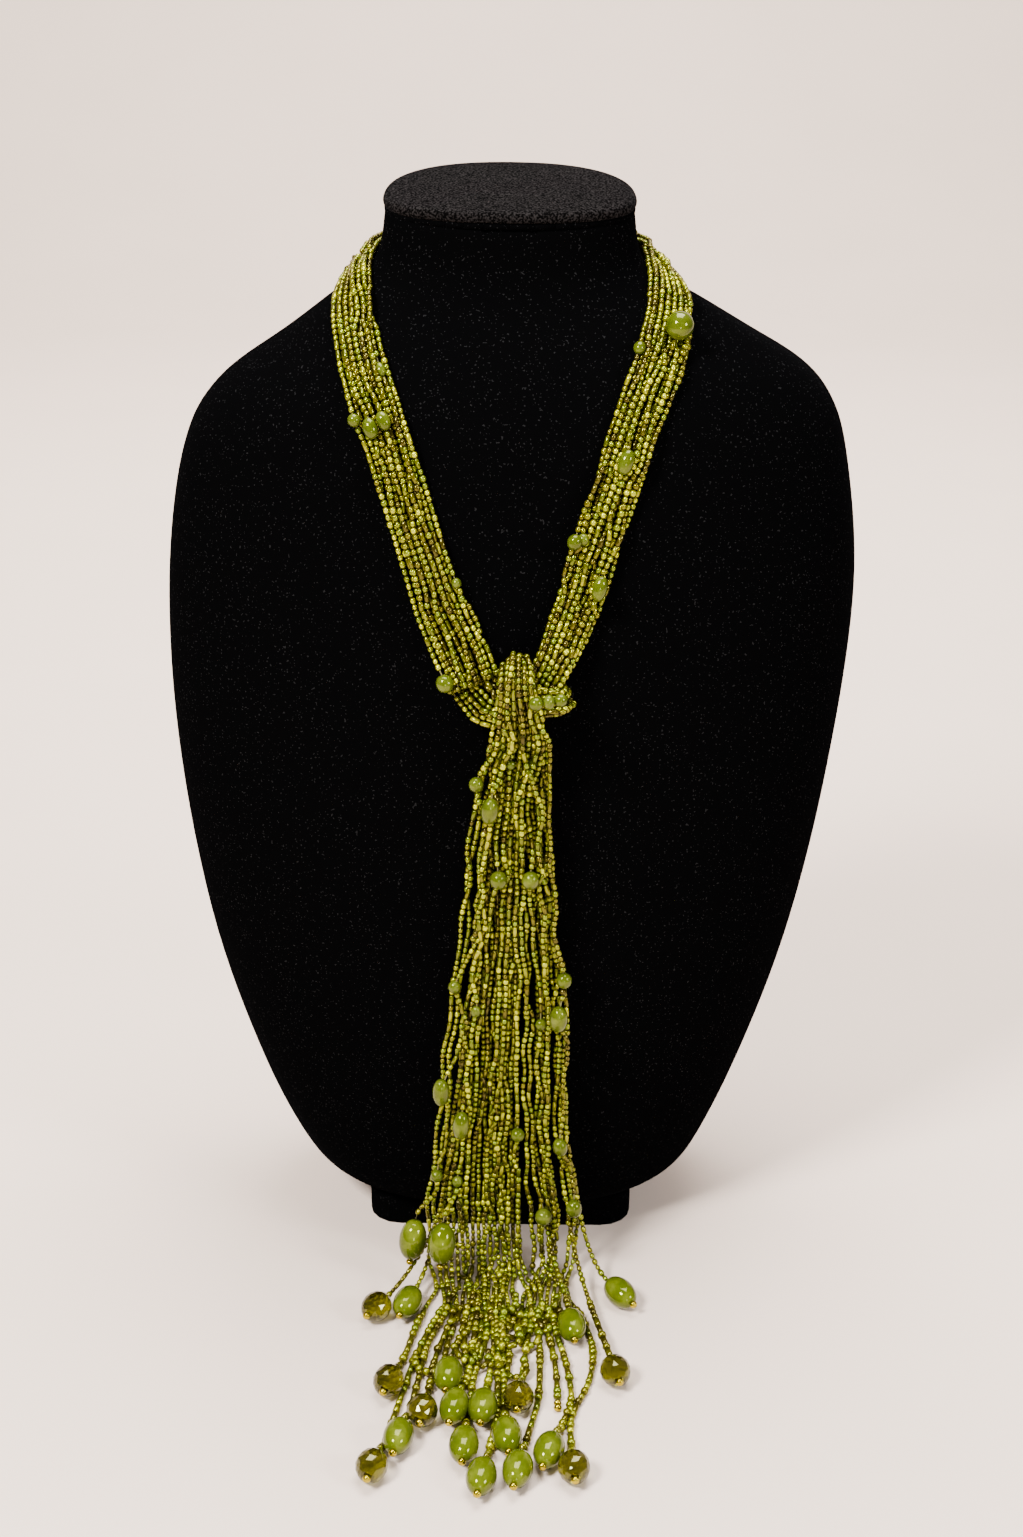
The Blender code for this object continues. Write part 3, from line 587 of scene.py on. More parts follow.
# The tassel's middle across, its height as a share of the knot's, and its width
tasselRows = (
    (0.3 * mm, 0.938, 21.6 * mm),
    (-0.8 * mm, 0.905, 25.2 * mm),
    (-2.0 * mm, 0.850, 28.8 * mm),
    (-2.8 * mm, 0.760, 31.2 * mm),
    (-3.0 * mm, 0.640, 36.6 * mm),
    (-3.2 * mm, 0.500, 44.1 * mm),
    (-4.2 * mm, 0.385, 48.0 * mm),
    (-5.2 * mm, 0.270, 50.4 * mm),
    (-5.0 * mm, 0.170, 57.0 * mm),
    (-4.8 * mm, 0.095, 61.2 * mm),
)
tassel = {
    "backPlane": -0.0692,
    "bendRadius": 0.012,
    "floorAcross": -4.8 * mm,
    "floorWidth": 60.0 * mm,
    "floorEnd": -0.192,
    "extraStrands": 9,
    "mix": 2.5,
    "spread": 1.18,
    "widest": 29 * mm,
    "lanes": (22, 5),
    "leaves": {"a": 17, "b": 17, "c": 12, "d": 8, "i": 12, "j": 6, "k": 4},
    "wander": 1.6 * mm,
    "stackWander": 1.5 * mm,
}
# The strands that end in the heap: the slices that they run on the floor, and where across, in millimetres
heap = {
    "shortest": 8,
    "further": 30,
    "middle": -1,
    "halfWidth": 22,
    "stray": 3,
    "wave": 1.3 * mm,
    "waveTurn": 0.16,
}


def tasselSlices():
    found = []
    radius = tassel["bendRadius"]
    for away, share, width in curveThrough(tasselRows, 12):
        height = knotPoint.z * share
        if height < radius:
            break
        middle = Vector((knotPoint.x + away, tassel["backPlane"], height))
        found.append(plainSlice(middle, across, forward, width))
    centre = Vector((knotPoint.x + tassel["floorAcross"], tassel["backPlane"] - radius, radius))
    for step in range(9):
        angle = math.pi / 2 * step / 8
        out = Vector((0, -math.cos(angle), math.sin(angle)))
        found.append(plainSlice(centre - out * radius, across, out, tassel["floorWidth"]))
    ahead = centre.y
    while ahead > tassel["floorEnd"]:
        ahead -= bundle["step"]
        found.append(plainSlice(Vector((centre.x, ahead, 0)), across, upward, tassel["floorWidth"]))
    return found


def evenSlices(slices):
    # the same slices spread evenly along the bundle's middle
    run = lineLengths([cut["middle"] for cut in slices])
    count = max(2, int(run[-1] / bundle["step"]))
    found = []
    k = 0
    for n in range(count + 1):
        want = run[-1] * n / count
        k = stretchAt(run, k, want)
        t = (want - run[k]) / max(run[k + 1] - run[k], 1e-9)
        a, b = slices[k], slices[k + 1]
        middle, side, out = (a[key].lerp(b[key], t) for key in ("middle", "side", "out"))
        width, arch, tuck = (a[key] + (b[key] - a[key]) * t for key in ("width", "arch", "tuck"))
        cut = plainSlice(middle, side, out, width, arch, tuck)
        cut["layer"] = a["layer"]
        if a["lift"] is not None and b["lift"] is not None:
            cut["lift"] = a["lift"] + (b["lift"] - a["lift"]) * t
        found.append(cut)
    return found


def slicePoint(cut, u, h):
    # a point of a slice: u to the side and h out from what the bundle lies on
    point = cut["middle"] + cut["side"] * u
    if cut["lift"] is not None:
        reach = 0.03
        spot = bustTree.ray_cast(point + cut["out"] * reach, -cut["out"], 2 * reach)[0]
        if spot is not None:
            point = spot + cut["out"] * bundle["layGap"]
        point.y += cut["lift"] * (cut["layer"] - point.y)
    return point + cut["out"] * (h - cut["arch"] * min(1.0, (2 * u / cut["width"]) ** 2))


def packStrands(u, h, wantU, wantH, radius, active, halfWidth, holdFirst, rounds, hold=0.06):
    # pushes strands apart in every slice, keeps them near where they want to run, and smooths them along
    count = u.shape[1]
    moving = active.astype(float)
    pair = moving[:, :, None] * moving[:, None, :] * (1 - np.eye(count))[None]
    need = radius[:, :, None] + radius[:, None, :]
    firstU, firstH = u[0].copy(), h[0].copy()
    for turn in range(rounds):
        du = u[:, :, None] - u[:, None, :]
        dh = h[:, :, None] - h[:, None, :]
        far = np.sqrt(du * du + dh * dh) + 1e-7
        push = 0.45 * np.maximum(need - far, 0) * pair / far
        u = u + (push * du).sum(2) + (wantU - u) * hold
        h = h + (push * dh).sum(2) + (wantH - h) * hold * 0.6
        if turn < rounds - 4:
            u[1:-1] += 0.30 * (u[:-2] + u[2:] - 2 * u[1:-1]) * moving[2:]
            h[1:-1] += 0.30 * (h[:-2] + h[2:] - 2 * h[1:-1]) * moving[2:]
        u = np.clip(u, -halfWidth[:, None], halfWidth[:, None])
        h = np.maximum(h, radius)
        if holdFirst:
            u[0], h[0] = firstU, firstH
    return u, h


def laneWalk(random, count, length, every, swaps):
    # each strand's lane along the bundle: neighbours change places now and then
    order = list(range(count))
    random.shuffle(order)
    stations = []
    for k in range(max(2, length // every + 2)):
        stations.append(list(order))
        for n in range(swaps):
            place = random.integers(0, count - 1)
            order[place], order[place + 1] = order[place + 1], order[place]
    lanes = np.zeros((length, count))
    for t in range(length):
        at = t / every
        k = int(at)
        part = at - k
        ease = part * part * (3 - 2 * part)
        for lane in range(count):
            lanes[t, stations[k][lane]] += lane * (1 - ease)
            lanes[t, stations[k + 1][lane]] += lane * ease
    return lanes


def slowWander(random, length, reach):
    # a slow irregular wave along a strand
    found = np.zeros(length)
    for _ in range(3):
        wave = random.uniform(12, 45)
        found += np.sin(np.arange(length) / wave * 6.28 + random.uniform(0, 6.28)) * random.uniform(0.3, 1)
    return found * reach / 2


def lanesToShare(lanes, count):
    return (lanes + 0.5) / count * 2 - 1


# Running the strands


# The strings on the floor in plan: across from the knot and forward from the bust's middle, in millimetres
stringRoutes = {
    "a": ((-27, -72.5), (-34, -76), (-36, -79.6)),
    "c": ((-30, -76), (-36.7, -82), (-41.5, -89.9), (-46.2, -97.9)),
    "d": ((-27, -76), (-32.7, -84.1), (-35.5, -91.6)),
    "e": ((-26, -82), (-31.5, -96.7), (-35, -111), (-37.6, -125), (-40.9, -138.7)),
    "m": ((-20, -86), (-25, -102.6), (-30, -118.8), (-31.9, -134.4), (-33.7, -149.5), (-36.1, -164.3)),
    "l": ((-17, -92), (-21, -105.5), (-25.5, -118.5), (-27.5, -130.9), (-28.3, -142.6), (-29.5, -154)),
    "n": ((-24, -94), (-30, -111.4), (-34.5, -128.8), (-37.6, -146.3), (-40.8, -163.8), (-44.2, -181.6)),
    "f": ((-14, -104), (-17.5, -113.2), (-20.4, -122.3), (-21.4, -132.0)),
    "o": ((-10, -112), (-12.7, -124.4), (-15.5, -136.6), (-17.9, -148.9)),
    "p": ((-6, -116), (-7.1, -127), (-8.1, -137.8), (-9.1, -148.6)),
    "q": ((-12, -118), (-13.2, -134.8), (-14.4, -151.6), (-15.3, -168)),
    "r": ((-3, -118), (-4.1, -140.1), (-5.7, -162), (-8.6, -183.2)),
    "t": ((-4, -118), (-3.6, -133.2), (-3.2, -148.2), (-2.2, -163.1)),
    "s": ((6, -104), (5, -118.3), (3.8, -132.4), (2.6, -146.6)),
    "u": ((8, -100), (9.6, -117), (9.6, -133.6), (8.8, -149.6), (5.7, -164.8), (3.2, -179.6)),
    "v": ((20, -90), (26.5, -107.6), (28.4, -124.8), (25.2, -142.9), (18.4, -156.9), (14.3, -170.4)),
    "w": ((12, -84), (14.4, -105.3), (18.4, -125.8), (20.3, -145.2), (19.6, -163.5), (20, -181.1)),
    "j": ((18, -78), (19.3, -91.8), (20.4, -104)),
    "k": ((21, -76), (26.2, -90.2), (29.7, -104.3), (31.9, -118.2), (34.5, -132)),
    "i": ((21, -75), (29.5, -78), (35, -85.5)),
    "g": ((10, -100), (13.4, -116.5), (15.2, -132.8), (15.5, -149)),
}


def floorRoute(name):
    points = [(knotPoint.x + x * mm, y * mm) for x, y in stringRoutes[name]]
    return [Vector(row) for row in curveThrough([tuple(Vector(p)) for p in points], 8)]


drops = {
    "ovalLength": 15.4 * mm,
    "ovalWidth": 10.1 * mm,
    "facetLength": 11.2 * mm,
    "facetWidth": 10.8 * mm,
    "stopperWidth": 2.8 * mm,
    "stringGap": 0.3 * mm,
}
# The two drops that hang against the tassel's foot, each with the way it points from its string
hangingDrops = {"a": (-0.13, -0.24, -0.96), "b": (-0.06, -0.29, -0.955)}


def dropPlace(name):
    # a drop's node, its middle, its direction away from its string, its length and its width
    node = "drop_oval_" + name if "drop_oval_" + name in nodes else "drop_facet_" + name
    low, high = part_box(node)
    kind = "oval" if "oval" in node else "facet"
    drop = {"node": node, "kind": kind, "middle": (low + high) / 2}
    drop["length"], drop["width"] = drops[kind + "Length"], drops[kind + "Width"]
    if name in hangingDrops:
        drop["run"] = Vector(hangingDrops[name]).normalized()
    else:
        route = floorRoute(name)
        run = (route[-1] - route[-4]).normalized()
        drop["run"] = Vector((run.x, run.y, 0))
        drop["middle"].z = max(drop["middle"].z, drop["width"] / 2)
    return drop


def cadAccents(family, numbers):
    # the larger beads that the CAD holds: each with its place, its length and its width
    found = []
    for k in numbers:
        name = "bead_%s_%d" % (family, k)
        low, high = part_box(name)
        found.append((name, (low + high) / 2, max(high - low), min(high - low)))
    return found


# Beads that only the strands carry: their bundle, a place near them, their length and width in millimetres
smallAccents = (
    ("left", -45.4, -55.0, 339.4, 5.6, 3.6),
    ("left", -15.8, -66.0, 265.7, 3.6, 3.4),
    ("right", 46.2, -52.0, 348.5, 4.8, 4.2),
    ("right", 24.8, -66.0, 280.8, 4.2, 3.8),
    ("tassel", -10.4, -76.0, 200.0, 5.4, 5.0),
    ("tassel", 1.7, -76.0, 205.9, 3.6, 3.5),
    ("tassel", 8.8, -76.0, 205.3, 3.6, 3.5),
    ("tassel", 22.1, -76.0, 122.2, 6.0, 5.6),
    ("tassel", -17.5, -76.0, 120.6, 4.8, 4.6),
    ("tassel", -9.1, -76.0, 111.1, 4.6, 3.6),
    ("tassel", 13.6, -76.0, 105.0, 4.6, 4.2),
    ("tassel", 6.7, -76.0, 59.4, 5.4, 5.2),
    ("tassel", -23.4, -76.0, 40.8, 4.8, 4.6),
    ("tassel", -15.7, -76.0, 35.3, 4.4, 4.2),
    ("tassel", 16.6, -76.0, 24.9, 6.6, 6.4),
)


def extraAccents(family):
    # smaller beads that only the strands carry; their place is where their strand runs
    found = []
    for k, (host, x, y, z, length, width) in enumerate(smallAccents):
        if host == family:
            found.append(("jadeSmall_%d" % k, Vector((x * mm, y * mm, z * mm)), length * mm, width * mm))
    return found


def halfWidths(cuts):
    return np.array([cut["width"] / 2 - bundle["edge"] for cut in cuts])


def strandPoints(cuts, u, h, count):
    return [[slicePoint(cut, u[t, i], h[t, i]) for i in range(count)] for t, cut in enumerate(cuts)]


def besideBead(k, length):
    # the slices beside a larger bead, each with how closely its strand follows the bead
    return [(t, max(0.0, 1 - abs(t - k) / 8)) for t in range(max(k - 7, 0), min(k + 8, length))]


def holdAccents(cuts, beads, wantU, radius, slots):
    # each larger bead takes the strand that runs nearest to it, and that strand grows round it
    held = []
    taken = set()
    for name, spot, length, width in beads:
        k = min(range(len(cuts)), key=lambda n: (cuts[n]["middle"] - spot).length)
        u = (spot - cuts[k]["middle"]).dot(cuts[k]["side"])
        ranked = sorted(slots, key=lambda i: abs(wantU[k, i] - u))
        strand = next(i for i in ranked if (i, k // 8) not in taken)
        taken.add((strand, k // 8))
        for t, ease in besideBead(k, len(cuts)):
            wantU[t, strand] += (u - wantU[t, strand]) * ease
            away = abs(t - k) * bundle["step"] / (length / 2)
            if away < 1:
                radius[t, strand] = max(radius[t, strand], width / 2 * math.sqrt(1 - away * away))
        held.append((name, strand, k, spot, length, width))
    return held


def pullToAccents(points, held):
    for name, strand, k, spot, length, width in held:
        if name not in nodes:
            continue
        shift = spot - points[k][strand]
        for t, ease in besideBead(k, len(points)):
            points[t][strand] = points[t][strand] + shift * (ease * ease * (3 - 2 * ease))


def runBundle(cuts, beads, random):
    count = bundle["strands"]
    length = len(cuts)
    halfWidth = halfWidths(cuts)
    share = lanesToShare(laneWalk(random, count, length, *bundle["lanes"]), count)
    wantU = share * halfWidth[:, None]
    radius = np.full((length, count), seedBeads["packRadius"])
    wantH = np.zeros((length, count))
    for i in range(count):
        wantU[:, i] += slowWander(random, length, bundle["wander"])
        wantH[:, i] = 0.8 * mm + slowWander(random, length, bundle["stackWander"])
    wantU = np.clip(wantU, -halfWidth[:, None], halfWidth[:, None])
    held = holdAccents(cuts, beads, wantU, radius, range(count))
    h = radius + random.random((1, count)) * 2.5 * mm * np.ones((length, 1))
    active = np.ones((length, count), bool)
    u, h = packStrands(wantU.copy(), h, wantU, wantH, radius, active, halfWidth, False, 90, 0.10)
    points = strandPoints(cuts, u, h, count)
    tucks = [knot["loopTuck"] * (0.0 if i % 4 == 1 else random.uniform(0.5, 1)) for i in range(count)]
    for t in range(length):
        for i in range(count):
            points[t][i].x -= cuts[t]["tuck"] * tucks[i]
    pullToAccents(points, held)
    return points, held


def routeAcross(route, ahead):
    # where a route runs at a distance ahead of the bust
    if ahead > route[0].y:
        return route[0].x
    for a, b in zip(route, route[1:]):
        if b.y <= ahead <= a.y:
            t = (a.y - ahead) / max(a.y - b.y, 1e-9)
            return a.x + (b.x - a.x) * t
    return route[-1].x


def drawTo(wantU, strand, first, aims):
    # leads a strand over to where it should run, from slice first on
    for t, aim in enumerate(aims, first):
        wantU[t, strand] += (aim - wantU[t, strand]) * min(1.0, (t - first) / 12)


def runTassel(cuts, starts, beads, random):
    # from the knot to the floor and out along the routes; starts are where the strands come out of the knot
    count = len(starts)
    length = len(cuts)
    floorCut = next(k for k, cut in enumerate(cuts) if cut["out"].z > 0.999)
    bendCut = next(k for k, cut in enumerate(cuts) if cut["out"].z > 0.01)
    routes = {name: floorRoute(name) for name in stringRoutes if name != "a"}
    routeNames = sorted(routes, key=lambda n: routes[n][0].x)
    first = cuts[0]
    startU = [(p - first["middle"]).dot(first["side"]) for p in starts]
    startH = [(p - first["middle"]).dot(first["out"]) for p in starts]
    ranked = sorted(range(count), key=lambda i: startU[i] + random.normal() * tassel["mix"] * mm)
    # the strands without a route of their own end inside the heap at the tassel's foot
    spare = count - len(routeNames) - 2
    plan = ["a"] + routeNames[:5] + ["b"] + routeNames[5:]
    for k in range(spare):
        plan.insert(4 + int(k * 2.6), "heap%d" % k)
    ends = dict(zip(ranked, plan))
    halfWidth = halfWidths(cuts)
    halfWidth[floorCut:] = tassel["floorWidth"]
    walk = laneWalk(random, count, length, *tassel["lanes"])
    # strands keep their place as they leave the knot, and stray less from their lane near the floor
    along = np.arange(length)
    wander = 0.15 * (1 - np.minimum(1.0, along / max(floorCut - 20, 1))) + 0.15
    keep = np.maximum(0.0, 1 - along / 14)
    wantU = np.zeros((length, count))
    active = np.ones((length, count), bool)
    endCut = {}
    for rank, strand in enumerate(ranked):
        name = ends[strand]
        lane = lanesToShare(rank, count)
        loose = lanesToShare(walk[:, strand], count)
        drift = slowWander(random, length, tassel["wander"])
        start = startU[strand] / max(halfWidth[0], 1e-6)
        target = np.clip((lane * (1 - wander) + loose * wander) * tassel["spread"], -1.0, 1.0)
        wantU[:, strand] = (target * (1 - keep) + start * keep) * np.minimum(halfWidth, tassel["widest"])
        wantU[:, strand] += drift * (1 - keep)
        if name in routes:
            route = routes[name]
            onFloor = [t for t in range(floorCut, length) if cuts[t]["middle"].y >= route[-1].y]
            last = max([floorCut] + onFloor)
            first = floorCut - 8
            aims = [routeAcross(route, cut["middle"].y) - cut["middle"].x for cut in cuts[first : last + 1]]
            drawTo(wantU, strand, first, aims)
            endCut[strand] = last
        elif name not in hangingDrops:
            endCut[strand] = floorCut + heap["shortest"] + int(random.uniform(0, heap["further"]))
            stray = random.uniform(-heap["stray"], heap["stray"])
            place = (lane * heap["halfWidth"] + heap["middle"] + stray) * mm
            phase = random.uniform(0, 6.28)
            first = floorCut - 6
            waves = [math.sin(t * heap["waveTurn"] + phase) for t in range(first, length)]
            drawTo(wantU, strand, first, [place + heap["wave"] * wave for wave in waves])
        if name in tassel["leaves"]:
            endCut[strand] = bendCut - tassel["leaves"][name]
        active[endCut[strand] + 1 :, strand] = False
    radius = np.full((length, count), seedBeads["packRadius"])
    held = holdAccents(cuts, beads, wantU, radius, range(bundle["strands"]))
    # the drops on the floor stand in the way of the strings
    blocks = []
    for name in stringRoutes:
        if name in ("a", "g"):
            continue
        drop = dropPlace(name)
        middle, run = drop["middle"], drop["run"]
        reach = drop["length"] / 2 * abs(run.y)
        rows = []
        for t, cut in enumerate(cuts):
            away = cut["middle"].y - middle.y
            if t >= floorCut and abs(away) < reach:
                side = middle.x + run.x / run.y * away - cut["middle"].x
                thick = drop["width"] / 2 * math.sqrt(max(0.1, 1 - (away / reach) ** 2))
                rows.append((side, middle.z, thick, 1))
            else:
                rows.append((0, middle.z, 1 * mm, 0))
        blocks.append(rows)
    blockU, blockH, blockRadius, blockOn = np.array(blocks).transpose(2, 1, 0)
    h = np.zeros((length, count))
    wantH = np.zeros((length, count))
    for strand in range(count):
        stack = slowWander(random, length, tassel["stackWander"])
        for t in range(length):
            fall = max(0.0, 1 - t / floorCut)
            wantH[t, strand] = startH[strand] * fall**0.8 * 0.75 + stack[t]
            h[t, strand] = startH[strand] * fall + (1 + random.random()) * mm
    u = np.concatenate([wantU, blockU], 1)
    h = np.concatenate([h, blockH], 1)
    allRadius = np.concatenate([radius, blockRadius], 1)
    allActive = np.concatenate([active, blockOn > 0], 1)
    u[0, :count], h[0, :count] = startU, startH
    for _ in range(20):
        wantAllU, wantAllH = u.copy(), h.copy()
        wantAllU[:, :count], wantAllH[:, :count] = wantU, wantH
        u, h = packStrands(u, h, wantAllU, wantAllH, allRadius, allActive, halfWidth, True, 6)
        u[:, count:], h[:, count:] = blockU, blockH
    points = strandPoints(cuts, u, h, count)
    pullToAccents(points, held)
    return points, held, ends, endCut


def finishString(line, name):
    # leads the last stretch of a string up to the drilled end of its drop, or out to a drop that leans
    if name == "g":
        return line
    if name.startswith("heap"):
        # a loop that turns back over the heap
        heading = line[-1] - line[-3]
        heading.z = 0
        heading.normalize()
        side = heading.cross(upward) * (1 if len(line) % 2 else -1)
        loop = (3 + len(line) % 3) * mm
        centre = line[-1] + side * loop
        for step in range(1, 8):
            angle = math.pi * step / 7
            point = centre - side * (loop * math.cos(angle)) + heading * (loop * math.sin(angle))
            line.append(point + upward * (0.3 * mm * step))
        for step in range(1, 5):
            line.append(line[-1] - heading * 1.6 * mm + upward * 0.1 * mm)
        return line
    drop = dropPlace(name)
    end = drop["middle"] - drop["run"] * (drop["length"] / 2 + drops["stringGap"])
    if name in hangingDrops:
        start = line[-1]
        reach = (end - start).length
        bend = start + (start - line[-3]).normalized() * reach * 0.4
        return line + softCurve(start, bend, end - drop["run"] * reach * 0.4, end, 10)
    tail = 1 if name in tassel["leaves"] else 6
    start = line[-tail - 1]
    reach = (end - start).length
    bend = start + (start - line[-tail - 3]).normalized() * reach * 0.35
    near = end - drop["run"] * reach * 0.35
    return line[:-tail] + softCurve(start, bend, near, end, max(6, int(reach / bundle["step"])))


# Beads


def newBall(segments, rings, width, stretch):
    deselectAll()
    bpy.ops.mesh.primitive_uv_sphere_add(segments=segments, ring_count=rings, radius=width / 2)
    editMesh("SELECT")
    bpy.ops.transform.resize(value=(1, 1, stretch))
    objectMode()
    return bpy.context.object


def modelSeed(kind):
    width, length = seedBeads[kind + "Width"], seedBeads[kind + "Length"]
    if kind == "tube":
        deselectAll()
        bpy.ops.mesh.primitive_cylinder_add(vertices=8, radius=width / 2, depth=length)
        obj = bpy.context.object
        editMesh("DESELECT", "EDGE")
        objectMode()
        for edge in obj.data.edges:
            a, b = (obj.data.vertices[v].co for v in edge.vertices)
            edge.select = abs(a.z - b.z) < 1e-6
        bpy.ops.object.mode_set(mode="EDIT")
        bpy.ops.mesh.bevel(offset=0.22 * width, segments=1)
        objectMode()
    else:
        obj = newBall(8, 5, width, length / width * 1.18)
        # the two drilled ends are dimpled
        for v in obj.data.vertices:
            if abs(v.co.z) > 0.55 * length:
                v.co.z *= 0.76
    mesh = obj.data
    corners = np.array([v.co for v in mesh.vertices])
    # how near each corner lies to the bead's ends; this masks the painted shade between beads
    ends = np.minimum(1.0, np.abs(corners[:, 2]) / (length / 2))
    loops = np.zeros(len(mesh.loops), np.int32)
    mesh.loops.foreach_get("vertex_index", loops)
    starts = np.zeros(len(mesh.polygons), np.int32)
    mesh.polygons.foreach_get("loop_start", starts)
    bpy.data.objects.remove(obj, do_unlink=True)
    return {"corners": corners, "loops": loops, "starts": starts, "ends": ends}


def joinCopies(name, models, placed, material, replaced):
    # one mesh of many beads: placed holds the places, turns and tints of each model's copies
    corners, loops, starts, tints, ends = [], [], [], [], []
    cornerCount = loopCount = 0
    for kind, copies in placed.items():
        if not copies:
            continue
        model = models[kind]
        spots, turns, tint = (np.array(column) for column in zip(*copies))
        order = np.arange(len(copies))[:, None]
        size, loopSize = len(model["corners"]), len(model["loops"])
        many = np.einsum("nij,vj->nvi", turns, model["corners"]) + spots[:, None, :]
        corners.append(many.reshape(-1, 3))
        loops.append((model["loops"] + cornerCount + order * size).reshape(-1))
        starts.append((model["starts"] + loopCount + order * loopSize).reshape(-1))
        tints.append(np.repeat(tint, size))
        ends.append(np.tile(model["ends"], len(copies)))
        cornerCount += len(copies) * size
        loopCount += len(copies) * loopSize
    mesh = bpy.data.meshes.new(name)
    for part, title, rows, kind in (
        (mesh.vertices, "co", corners, np.float32),
        (mesh.loops, "vertex_index", loops, np.int32),
        (mesh.polygons, "loop_start", starts, np.int32),
    ):
        values = np.concatenate(rows).astype(kind)
        part.add(len(values))
        part.foreach_set(title, values.reshape(-1))
    mesh.update(calc_edges=True)
    # the ends attribute masks the painted shade between beads
    for title, values in (("tint", tints), ("ends", ends)):
        layer = mesh.attributes.new(title, "FLOAT", "POINT")
        layer.data.foreach_set("value", np.concatenate(values).astype(np.float32))
    mesh.shade_smooth()
    dressPiece(takeNewPiece(name, mesh), material, "seed_beads", *replaced)


def threadBeads(line, skip, random, placed, at):
    # beads one after another along a strand, leaving out the stretches in skip; gives what is left bare
    run = lineLengths(line)
    strandTint = random.normal() * seedBeads["strandTint"]
    k = 0
    while True:
        k = stretchAt(run, k, at)
        inHeap = line[k].z < heapBeads["below"] and line[k].y < heapBeads["beyond"]
        bigShare = (heapBeads if inHeap else seedBeads)["bigShare"]
        draw = random.random()
        kind = "round"
        if draw < seedBeads["tubeShare"]:
            kind = "tube"
        elif draw < seedBeads["tubeShare"] + bigShare:
            kind = "big"
        stretch = seedBeads["stretch"][0] + seedBeads["stretch"][1] * random.random()
        size = seedBeads["size"][0] + seedBeads["size"][1] * random.random()
        if inHeap:
            size *= heapBeads["size"]
            stretch *= heapBeads["stretch"]
        # a short round bead where a longer one has no room left
        for kind in (kind, "round"):
            length = seedBeads[kind + "Length"]
            middle = at + length * stretch / 2
            jump = next((b for a, b in skip if a < middle + length / 2 and middle - length / 2 < b), None)
            if jump is None and middle + length * stretch / 2 <= run[-1]:
                break
        if middle + length * stretch / 2 > run[-1]:
            break
        if jump is not None:
            at = max(jump, at) + 0.05 * mm
            continue
        k = stretchAt(run, k, middle)
        t = (middle - run[k]) / max(run[k + 1] - run[k], 1e-9)
        spot = line[k].lerp(line[k + 1], t)
        spot.z = max(spot.z, seedBeads[kind + "Width"] * size / 2)
        axis = line[min(k + 1, len(line) - 1)] - line[k]
        turn = turnTo(axis, random.random() * 6.28) @ np.diag((size, size, stretch))
        warm = heapBeads["warm"] if inHeap else 0.0
        tint = seedBeads["tint"] - warm + strandTint + random.normal() * seedBeads["beadTint"]
        tint = min(1.0, max(0.0, tint))
        placed[kind].append((tuple(spot), turn, tint))
        at += length * stretch + seedBeads["gap"]
        k = max(0, k - 1)
    return run[-1] - at


def threadMesh(name, lines, radius, sides, material, slot):
    corners, faces = [], []
    angles = [2 * math.pi * step / sides for step in range(sides)]
    ring = [np.array((math.cos(angle) * radius, math.sin(angle) * radius, 0)) for angle in angles]
    for line in lines:
        base = len(corners)
        last = len(line) - 1
        for k, point in enumerate(line):
            turn = turnTo(line[min(k + 1, last)] - line[max(k - 1, 0)], 0)
            corners += [Vector(turn @ spoke) + point for spoke in ring]
        for k in range(base, base + last * sides, sides):
            for step in range(sides):
                a, b = k + step, k + (step + 1) % sides
                faces.append((a, b, b + sides, a + sides))
        faces.append(tuple(base + s for s in reversed(range(sides))))
        faces.append(tuple(base + last * sides + s for s in range(sides)))
    mesh = bpy.data.meshes.new(name)
    mesh.from_pydata([tuple(c) for c in corners], [], faces)
    mesh.shade_smooth()
    dressPiece(takeNewPiece(name, mesh), material, slot)


def modelOval(length, width, segments, rings):
    obj = newBall(segments, rings, width, length / width)
    # the drilled ends are slightly flat
    limit = 0.475 * length
    for v in obj.data.vertices:
        if abs(v.co.z) > limit:
            v.co.z = math.copysign(limit + (abs(v.co.z) - limit) * 0.3, v.co.z)
    obj.data.shade_smooth()
    return obj


# A cut drop's rows of corners: up as a share of its length and out as a share of its width
facetRows = (
    (0.50, 0.20),
    (0.42, 0.32),
    (0.27, 0.43),
    (0.09, 0.49),
    (-0.09, 0.49),
    (-0.27, 0.43),
    (-0.42, 0.32),
    (-0.50, 0.20),
)


def modelFacet(length, width, sides):
    # a cut bead: table, crown, girdle and pavilion rows of flat facets, every second row turned half a side
    deselectAll()
    bpy.ops.mesh.primitive_uv_sphere_add(segments=sides, ring_count=len(facetRows) + 1, radius=width / 2)
    obj = bpy.context.object
    levels = sorted({round(v.co.z, 7) for v in obj.data.vertices}, reverse=True)
    editMesh("DESELECT")
    objectMode()
    for v in obj.data.vertices:
        v.select = abs(abs(v.co.z) - width / 2) < 1e-6
    bpy.ops.object.mode_set(mode="EDIT")
    bpy.ops.mesh.delete(type="VERT")
    objectMode()
    for row, (level, (up, out)) in enumerate(zip(levels[1:-1], facetRows)):
        turn = math.pi / sides if row % 2 else 0.0
        for v in obj.data.vertices:
            if abs(v.co.z - level) < 1e-6 and not v.hide:
                angle = math.atan2(v.co.y, v.co.x) + turn
                v.co = Vector((out * width * math.cos(angle), out * width * math.sin(angle), up * length))
                v.hide = True
    for v in obj.data.vertices:
        v.hide = False
    editMesh("DESELECT")
    bpy.ops.mesh.select_non_manifold()
    bpy.ops.mesh.edge_face_add()
    bpy.ops.mesh.select_all(action="SELECT")
    bpy.ops.mesh.quads_convert_to_tris(quad_method="SHORTEST_DIAGONAL")
    bpy.ops.mesh.normals_make_consistent(inside=False)
    objectMode()
    obj.data.shade_flat()
    return obj


